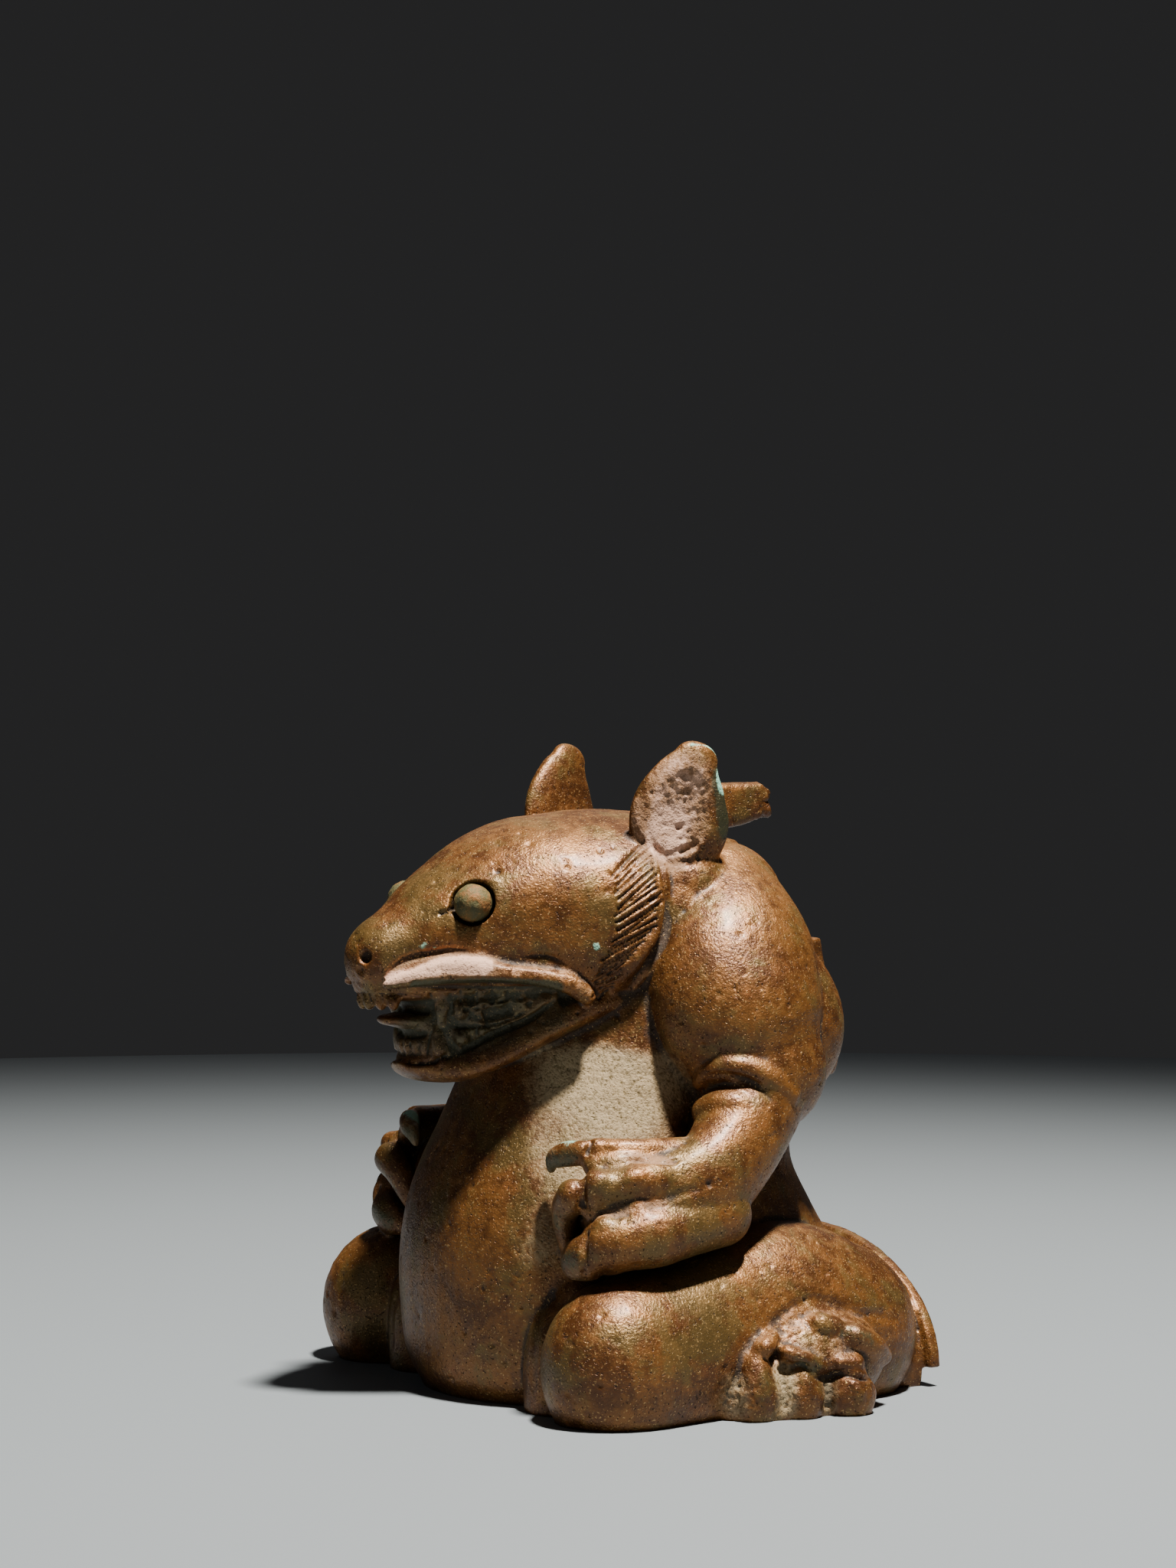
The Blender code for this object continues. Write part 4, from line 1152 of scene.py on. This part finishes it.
DARK_GREEN_ZONES = (
    # deep green: back edge of the ear, under the lip, toes, claws, elbow, teeth
    (2.6, 1, ((27, 4.6, 117.6), (27.2, 5.4, 113), (27, 6.2, 108))),
    (1.6, 0.95, ((11.8, -52.4, 78.9), (16.5, -45.6, 79), (20.8, -37.4, 79), (24.2, -29.4, 78.4))),
    (2.4, 0.5, ((56.4, 0.8, 4), (57, 4.4, 2))),
    (1.8, 0.5, ((57.4, 9.8, 6), (57.4, 9.4, 1.6))),
    (3, 0.8, ((34.6, -31, 48), (29.4, -33, 46.4))),
    (1.6, 0.6, ((58.4, -4.4, 9.4), (58.4, -4.2, 7))),
    (1.6, 0.6, ((59.6, 4.4, 7.6), (59.9, 4.6, 5))),
    (2.2, 0.6, ((57.4, 3.2, 11), (58, 6.6, 9.4))),
    (2.4, 0.6, ((56.6, 12.4, 16), (57.6, 18.4, 13.6))),
    (3, 0.6, ((37.6, -35, 40.4), (34.4, -34, 34.6))),
    (2.6, 0.7, ((41, -35, 30), (36.4, -34.6, 28.6))),
    (4, 0.45, ((43, 0, 57.4),)),
    (6, 0.4, ((12, -43, 72), (18, -33, 75))),
)
MOUTH_ZONES = (
    # what lies between the open jaws, darkened with painted shade as if in the shadow of the lip
    (7, 1, ((0, -46, 71.6), (8, -44, 71.6), (13, -38, 72.6), (18, -30, 75.4))),
)
VERDIGRIS_ZONES = (
    # pale green bloom: cheek, tip and edge of the ear, thumb's claw, muzzle, back of the neck, upper arm
    (0.8, 1, ((25.9, -22.1, 86),)),
    (0.5, 0.8, ((26, -1, 124), (26.4, 3.2, 123), (26.4, 5.2, 120.4))),
    (1.3, 1, ((27, 4.8, 118), (27.2, 5.2, 115.6))),
    (1.8, 0.9, ((31, -31.6, 49.2), (33.6, -30.8, 49.8))),
    (0.9, 0.8, ((10.4, -50.6, 86.2),)),
    (0.9, 0.7, ((12, -48.8, 85.6),)),
    (1.6, 0.7, ((22.6, 22, 96.4),)),
    (1.6, 0.6, ((47.9, 4.4, 65.8),)),
)
HEAT_ZONES = (
    # where the patina is reddest: cheek, throat, back of the shoulder, belly, haunch
    (8, 1, ((26.4, -22, 92), (27, -20, 86))),
    (13, 1, ((36, 22, 86), (41, 18, 74))),
    (6, 0.9, ((22, -13, 76), (26, -12, 74))),
    (10, 0.8, ((22, -37, 42), (25, -38, 26))),
    (9, 0.8, ((8, -43, 30), (6, -42, 46))),
    (7, 0.6, ((47, 4, 62), (46, 0, 54))),
    (13, 0.8, ((52, 22, 22), (48, 30, 16))),
)
OLIVE_ZONES = (
    # where it is greenest: bridge of the nose, belly, knee, wrist
    (9, 0.8, ((7, -55, 88), (10, -46, 96))),
    (8, 0.7, ((24, -33, 46), (16, -36, 50))),
    (10, 0.8, ((54, -22, 18), (50, -10, 28))),
    (8, 0.7, ((38, -36, 14), (34, -36, 4))),
    (6, 0.7, ((48, -18, 44), (46, -26, 43))),
    (6, 0.6, ((50, -14, 37), (48, -24, 35))),
    (6, 0.3, ((2, 26, 112), (2, 20, 116))),
)
SOFT_STEPS = 24
FINE_STEPS = 4
FUR_REACH = 4.6
# bounds in figure units: the jaws' back and foot, the lip's top and lower edge, the foot of the ears,
# and for the crust on the chest its top, at the edge of the head's shadow, how it fades there, its half-width and the
# height of the toes
JAWS_BACK, JAWS_FOOT, LIP_TOP, LIP_EDGE = -22, 70, 86, 78.6
EARS_FOOT = 105
CRUST_TOP, CRUST_FADE, CHEST_HALF_WIDTH, TOES_TOP = 70, 5, 33, 12
FACING_UNDER = -0.25


def zone(places, lines):
    """How strongly each place belongs to a zone, given as widths, strengths and lines."""
    found = np.zeros(len(places))
    for side in (1, -1):
        for width, strength, path in lines:
            line = path if len(path) > 1 else spot(path[0])
            rows, off, _ = beside(places * (side, 1, 1), line, width * 1.5)
            within = np.clip(1.5 * (1 - off / (width * 1.5)), 0, 1) * strength
            found[rows] = np.maximum(found[rows], within)
    return found


def hollowness(mesh, places, steps):
    """How far each place lies under its smoothed surroundings, in figure units."""
    edges = np.empty(len(mesh.edges) * 2, np.int32)
    mesh.edges.foreach_get("vertices", edges)
    a, b = edges.reshape(-1, 2).T
    count = np.bincount(np.concatenate([a, b]), minlength=len(places))[:, None]
    smooth = places.copy()
    for _ in range(steps):
        sums = [np.bincount(a, row[b], len(places)) + np.bincount(b, row[a], len(places)) for row in smooth.T]
        smooth = np.column_stack(sums) / np.maximum(count, 1)
    outward = vectors(mesh.vertex_normals, "vector")
    return np.einsum("ij,ij->i", smooth - places, outward)


def paint(mesh):
    """Keeps on the mesh where each colour of the patina and of the clay lies, and how hollow, how upturned and how far
    in the mouth each place is, for the painted shade and painted light.
    """
    places = figure_places(mesh)
    x, y, z = places.T
    outward = vectors(mesh.vertex_normals, "vector")
    clay = zone(places, CLAY_ZONES)
    under_lip = (y < JAWS_BACK) & (z > JAWS_FOOT) & (z < LIP_TOP) & (outward[:, 2] < FACING_UNDER)
    clay[under_lip] *= 0.25
    ear_back = (z > EARS_FOOT) & (outward[:, 0] * np.sign(x) < 0)
    clay[ear_back] *= 0.2
    # Painted shadow: the crust stops at the edge of the shadow that the head casts on the chest, so the shaded chest
    # above stays the darker bronze.
    sand = zone(places, SAND_ZONES) * np.clip((CRUST_TOP - z) / CRUST_FADE, 0, 1)
    sand[(np.abs(x) > CHEST_HALF_WIDTH) & (z > TOES_TOP)] = 0
    layers = {
        "clay": clay,
        "sand": sand,
        "dark_green": zone(places, DARK_GREEN_ZONES),
        "verdigris": zone(places, VERDIGRIS_ZONES),
        "heat": zone(places, HEAT_ZONES),
        "green_gold": zone(places, OLIVE_ZONES),
        "mouth": zone(places, MOUTH_ZONES) * (z < LIP_EDGE),
        "hollow": hollowness(mesh, places, SOFT_STEPS),
        "fine_hollow": hollowness(mesh, places, FINE_STEPS),
        "upward": outward[:, 2],
    }
    for name, values in layers.items():
        layer = mesh.attributes.new(name, "FLOAT", "POINT")
        layer.data.foreach_set("value", values.astype(np.float32))


def new_material(name):
    """A material, its shader, and a writer for the rest of its nodes."""
    material = bpy.data.materials.new(name)
    material.use_nodes = True
    return material, material.node_tree.nodes["Principled BSDF"], Nodes(material.node_tree)


def bronze_material(finish):
    """Satin bronze patina: brown and ochre with olive, red and green patches, pitted, with clay in the hollows, painted
    shade in the hollows and the mouth, and painted light on the tops.
    """
    material, shader, nodes = new_material("patinated bronze")
    place = nodes.add("ShaderNodeTexCoord", output=3)
    broad = nodes.noise(place, BROAD, 3)
    patches = nodes.noise(place, PATCHES, 4, 0.6, shift=0.31)
    streaks = nodes.noise(place, STREAKS, 4, 0.65, shift=0.77)
    speckle = nodes.noise(place, SPECKLE, 3, 0.6, shift=0.13)
    dust = nodes.noise(place, DUST, 1, 0.5, shift=0.57)
    pores = nodes.noise(place, PORES, 1, 0.5, shift=0.93)
    hollow, fine_hollow = nodes.painted("hollow"), nodes.painted("fine_hollow")
    upward, heat, green_gold = (nodes.painted(name) for name in ("upward", "heat", "green_gold"))
    fray = (speckle - 0.5) * 0.5 + (streaks - 0.5) * 0.9
    ground = (broad * 0.5 + streaks * 0.5).between(0.40, 0.62)
    colour = nodes.mix(ground, finish.brown, finish.ochre)
    olive = (patches + green_gold * 0.17 + fray * 0.3).between(0.50, 0.68)
    colour = nodes.mix(olive * 0.6, colour, finish.olive)
    red = (heat * 0.6 + (1 - patches) * 0.6 + fray * 0.35).between(0.35, 0.75)
    colour = nodes.mix(red * 0.85, colour, finish.red)
    # Partly a thin film of clay dust, partly painted light: faces turned upwards are made paler and pinker, as if lit
    # from above.
    clay_dust_and_top_light = (upward * 0.55 + broad * 0.5 + fray * 0.5).between(0.6, 1.05)
    colour = nodes.mix(clay_dust_and_top_light * 0.35, colour, finish.clay)
    mouth = nodes.painted("mouth")
    # Painted shade: hollows, creases and the mouth are drawn towards the dark colour, as if shadowed.
    shade = (hollow * 0.9 + fine_hollow * 2.4 + mouth * 0.3 + fray * 0.3).between(0.12, 0.7)
    colour = nodes.mix(shade * 0.85, colour, finish.dark)
    colour = nodes.mix(dust.between(0.63, 0.74) * 0.6, colour, finish.fleck)
    pore = (1 - pores).between(0.64, 0.74)
    colour = nodes.mix(pore * 0.7, colour, finish.dark)
    # Painted shade in the mouth: it is drawn towards dark green-brown.
    colour = nodes.mix((mouth + fray * 0.3).between(0.3, 0.8) * 0.5, colour, finish.dark_green)
    sand = (nodes.painted("sand") + (broad - 0.5) * 0.8 + fray * 0.5).between(0.2, 0.95)
    sandy = nodes.mix((speckle * 0.7 + dust * 0.5).between(0.40, 0.62), finish.olive, finish.sand)
    colour = nodes.mix(sand * 0.85, colour, sandy)
    caked = nodes.painted("clay")
    clay = (caked + fray * 0.9 + hollow * 0.12).between(0.4, 0.85)
    pink = nodes.mix((caked + fray * 0.5).between(0.78, 0.95), finish.clay, finish.pale_clay)
    colour = nodes.mix(clay * (0.85 - pore * 0.4), colour, pink)
    green = (nodes.painted("dark_green") + fray * 0.8).between(0.45, 0.85)
    colour = nodes.mix(green * 0.8, colour, finish.dark_green)
    bloom = (nodes.painted("verdigris") + fray * 0.9).between(0.4, 0.75)
    colour = nodes.mix(bloom * 0.85, colour, finish.verdigris)
    dull = (clay + sand + bloom).clamped()
    roughness = (finish.roughness + (streaks - 0.5) * 0.3 + pore * 0.2 + shade * 0.25) * (1 - dull) + dull * 0.75
    metal = (1 - dull) * finish.metal * (1 - shade * 0.6)
    wax = (1 - dull) * (1 - shade) * (1 - pore) * 0.1
    height = dust * 0.5 + speckle * (0.7 + dull * 0.6) + streaks * 0.5 - pore * 0.6
    looks = {"Base Color": colour, "Roughness": roughness, "Metallic": metal, "Coat Weight": wax}
    nodes.feed(shader, looks | {"Normal": nodes.bump(finish.grain, height)})
    shader.inputs["Coat Roughness"].default_value = 0.26
    shader.inputs["IOR"].default_value = finish.gloss
    return material


def bead_material(finish):
    """Dull dark green patina with brown patches, for the eyes."""
    material, shader, nodes = new_material("green bead")
    place = nodes.add("ShaderNodeTexCoord", output=3)
    patches = nodes.noise(place, 330, 4, 0.6)
    speckle = nodes.noise(place, 1900, 3, 0.6, shift=0.4)
    colour = nodes.mix((patches + speckle * 0.4).between(0.62, 0.9), finish.bead, finish.ochre)
    colour = nodes.mix((1 - patches).between(0.5, 0.7) * 0.8, colour, finish.dark_green)
    colour = nodes.mix(speckle.between(0.6, 0.75) * 0.5, colour, finish.fleck)
    bump = nodes.bump(finish.grain, speckle + patches)
    nodes.feed(shader, {"Base Color": colour, "Roughness": 0.5 + patches * 0.4, "Normal": bump})
    shader.inputs["Metallic"].default_value = 0.3
    return material


def plain_material(name, colour, roughness):
    """One colour all over."""
    material, shader, _ = new_material(name)
    shader.inputs["Base Color"].default_value = (*colour, 1)
    shader.inputs["Roughness"].default_value = roughness
    return material


def colour_property(name, text, default):
    """A colour to choose in the panel."""
    return FloatVectorProperty(name=name, description=text, default=default, subtype="COLOR", size=3, min=0.0, max=1.0)


class BearForm(bpy.types.PropertyGroup):
    """Sizes of the skin and of what is worked into it"""

    coarse: FloatProperty(name="Joining grid", description="Grid that joins the forms, mm", default=0.5)
    fine: FloatProperty(name="Skin grid", description="Grid of the finished skin, mm", default=0.34)
    faces: IntProperty(name="Triangles", description="Triangles of the finished skin", default=194000)
    unevenness: FloatProperty(
        name="Unevenness", description="Height of the casting's waves", default=0.00011, unit="LENGTH", precision=5
    )
    pits: IntProperty(name="Casting pits", description="Small pits all over the skin", default=900)
    fur_strokes: IntProperty(name="Fur strokes", description="Chased strokes on each cheek", default=33)
    fur_width: FloatProperty(
        name="Stroke width", description="Half the width of a stroke", default=0.0004, unit="LENGTH", precision=5
    )
    fur_depth: FloatProperty(
        name="Stroke depth", description="Depth of a stroke", default=0.00062, unit="LENGTH", precision=5
    )


class BronzeFinish(bpy.types.PropertyGroup):
    """Colours of the patina and of the clay left on it, and of the painted shade in its hollows"""

    brown: colour_property("Brown", "Darker ground of the patina", (0.078, 0.027, 0.006))
    ochre: colour_property("Ochre", "Lighter ground of the patina", (0.185, 0.074, 0.015))
    olive: colour_property("Olive", "Green-brown patches", (0.100, 0.073, 0.020))
    red: colour_property("Red", "Warm patches", (0.250, 0.052, 0.009))
    # Dirt in the pores, and the painted shade of the hollows, creases and mouth.
    dark: colour_property("Dark", "Dirt in the pits and hollows", (0.015, 0.008, 0.004))
    fleck: colour_property("Fleck", "Bright grains", (0.50, 0.31, 0.12))
    clay: colour_property("Clay", "Pink burial clay", (0.27, 0.140, 0.066))
    pale_clay: colour_property("Pale clay", "Lightest burial clay", (0.58, 0.35, 0.245))
    sand: colour_property("Sand", "Yellow-grey crust on the chest", (0.35, 0.262, 0.145))
    dark_green: colour_property("Dark green", "Deep green patina", (0.040, 0.050, 0.026))
    verdigris: colour_property("Verdigris", "Pale green bloom", (0.24, 0.50, 0.38))
    bead: colour_property("Bead", "Eye beads", (0.080, 0.068, 0.020))
    roughness: FloatProperty(name="Roughness", description="Roughness of the satin patina", default=0.43)
    gloss: FloatProperty(name="Gloss", description="Refractive index of the waxy surface", default=1.5)
    metal: FloatProperty(name="Metal", description="How far the metal shows through the patina", default=0.55)
    grain: FloatProperty(name="Grain", description="Strength of the fine casting grain", default=0.65)


class StageSettings(bpy.types.PropertyGroup):
    """The floor, the lights and the camera"""

    floor: colour_property("Floor", "Colour of the floor", (0.162, 0.182, 0.198))
    surround: colour_property("Surround", "Dim room light", (0.022, 0.022, 0.0225))
    floor_radius: FloatProperty(name="Floor radius", description="Half the floor's width", default=0.85, unit="LENGTH")
    distance: FloatProperty(name="Camera distance", description="From the figure's axis", default=0.7, unit="LENGTH")
    eye_height: FloatProperty(name="Camera height", description="Over the floor", default=0.1165, unit="LENGTH")
    azimuth: FloatProperty(
        name="Camera bearing", description="Turned from the figure's front", default=math.radians(60), subtype="ANGLE"
    )


def finished(mesh, name, node, material):
    """A finished piece that stands for a solid and rides with it."""
    obj = placed(name, mesh)
    mesh.materials.clear()
    mesh.materials.append(material)
    mesh.shade_smooth()
    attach(obj, "root")
    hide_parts(node)


class BEAR_OT_cast_figure(bpy.types.Operator):
    """Build the bear figure as one cast piece"""

    bl_idname = "bronze_bear.cast_figure"
    bl_label = "Cast Bear Figure"

    def execute(self, context):
        form = context.scene.bear_form
        material = bronze_material(context.scene.bronze_finish)
        mesh = one_skin(form.coarse, form.fine)
        worked_skin(mesh, form)
        to_metres(mesh)
        obj = placed("skin", mesh)
        chase_fur(obj, form, material)
        thinned(obj, form.faces)
        mesh = obj.data
        bpy.data.objects.remove(obj)
        paint(mesh)
        finished(mesh, "bear_casting", "bear", material)
        return {"FINISHED"}


class BEAR_OT_inlay_eyes(bpy.types.Operator):
    """Set an eye bead in each socket"""

    bl_idname = "bronze_bear.inlay_eyes"
    bl_label = "Inlay Eye Beads"

    def execute(self, context):
        material = bead_material(context.scene.bronze_finish)
        for side, name in ((1, "left"), (-1, "right")):
            shape = bmesh.new()
            bmesh.ops.create_icosphere(shape, subdivisions=5, radius=EYE_DIAMETER / 2 - BEAD_SINK)
            centre = Vector(EYE_CENTRE)
            for vert in shape.verts:
                (broad, high), (fine, low) = BEAD_WAVES
                swell = noise.noise(vert.co / broad) * high + noise.noise(vert.co / fine + centre) * low
                vert.co = vert.co * (1 + (swell - BEAD_SINK / 2) / (EYE_DIAMETER / 2)) + centre
                vert.co.x *= side
            bmesh.ops.recalc_face_normals(shape, faces=shape.faces)
            mesh = plain_mesh(shape, "eye bead " + name)
            to_metres(mesh)
            finished(mesh, "bead_" + name, "eye_" + name, material)
        return {"FINISHED"}


def hang_light(name, kind, bearing, height, distance, power, colour):
    """Faces a light to the figure, from a bearing off its front and a height in degrees."""
    data = bpy.data.lights.new(name, kind)
    data.energy = power
    data.color = colour
    light = placed(name, data)
    turn, rise = math.radians(bearing), math.radians(height)
    towards = Vector((math.sin(turn) * math.cos(rise), -math.cos(turn) * math.cos(rise), math.sin(rise)))
    light.location = towards * distance + LIGHTS_AIM
    light.rotation_euler = towards.to_track_quat("Z", "Y").to_euler()
    return data


def hang_lights():
    """A soft-edged spotlight, which leaves the far floor dim, and two weak square fill lights."""
    key = hang_light("key", "SPOT", *KEY_LIGHT)
    key.spot_size = KEY_SPREAD
    key.spot_blend = 1
    key.shadow_soft_size = KEY_RADIUS
    for name, setting in (("front fill", FRONT_FILL), ("back fill", BACK_FILL)):
        hang_light(name, "AREA", *setting).size = FILL_SIZE


class BEAR_OT_set_stage(bpy.types.Operator):
    """Add the floor, the lights and the camera"""

    bl_idname = "bronze_bear.set_stage"
    bl_label = "Set Stage"

    def execute(self, context):
        stage = context.scene.bear_stage
        shape = bmesh.new()
        bmesh.ops.create_circle(shape, cap_ends=True, segments=128, radius=stage.floor_radius)
        mesh = plain_mesh(shape, "floor")
        mesh.materials.append(plain_material("pale floor", stage.floor, 0.7))
        placed("floor", mesh)
        world = bpy.data.worlds.new("room")
        context.scene.world = world
        world.use_nodes = True
        world.node_tree.nodes["Background"].inputs["Color"].default_value = (*stage.surround, 1)
        hang_lights()
        camera = placed("camera", bpy.data.cameras.new("camera"))
        camera.data.sensor_width = SENSOR_WIDTH
        camera.data.lens = LENS
        camera.location = (
            stage.distance * math.sin(stage.azimuth),
            FIGURE_AXIS_Y * UNIT - stage.distance * math.cos(stage.azimuth),
            stage.eye_height,
        )
        camera.rotation_euler = (math.radians(90), 0, stage.azimuth + SIDE_TURN)
        context.scene.camera = camera
        return {"FINISHED"}


class BEAR_PT_panel(bpy.types.Panel):
    """Everything that builds the bear, in order"""

    bl_label = "Bronze Bear"
    bl_idname = "BEAR_PT_panel"
    bl_space_type = "VIEW_3D"
    bl_region_type = "UI"
    bl_category = "Bronze Bear"

    def draw(self, context):
        layout = self.layout
        for owner, operator in (
            (context.scene.bear_form, BEAR_OT_cast_figure),
            (context.scene.bronze_finish, BEAR_OT_inlay_eyes),
            (context.scene.bear_stage, BEAR_OT_set_stage),
        ):
            box = layout.box()
            for name in owner.__annotations__:
                box.prop(owner, name)
            box.operator(operator.bl_idname)


GROUPS = {"bear_form": BearForm, "bronze_finish": BronzeFinish, "bear_stage": StageSettings}
OPERATORS = (BEAR_OT_cast_figure, BEAR_OT_inlay_eyes, BEAR_OT_set_stage)


def register():
    for group in (*GROUPS.values(), *OPERATORS, BEAR_PT_panel):
        bpy.utils.register_class(group)
    for name, group in GROUPS.items():
        setattr(bpy.types.Scene, name, PointerProperty(type=group))


def unregister():
    for name in GROUPS:
        delattr(bpy.types.Scene, name)
    for group in reversed((*GROUPS.values(), *OPERATORS, BEAR_PT_panel)):
        bpy.utils.unregister_class(group)


def main():
    register()
    bpy.ops.bronze_bear.cast_figure()
    bpy.ops.bronze_bear.inlay_eyes()
    bpy.ops.bronze_bear.set_stage()


if __name__ == "__main__":
    main()
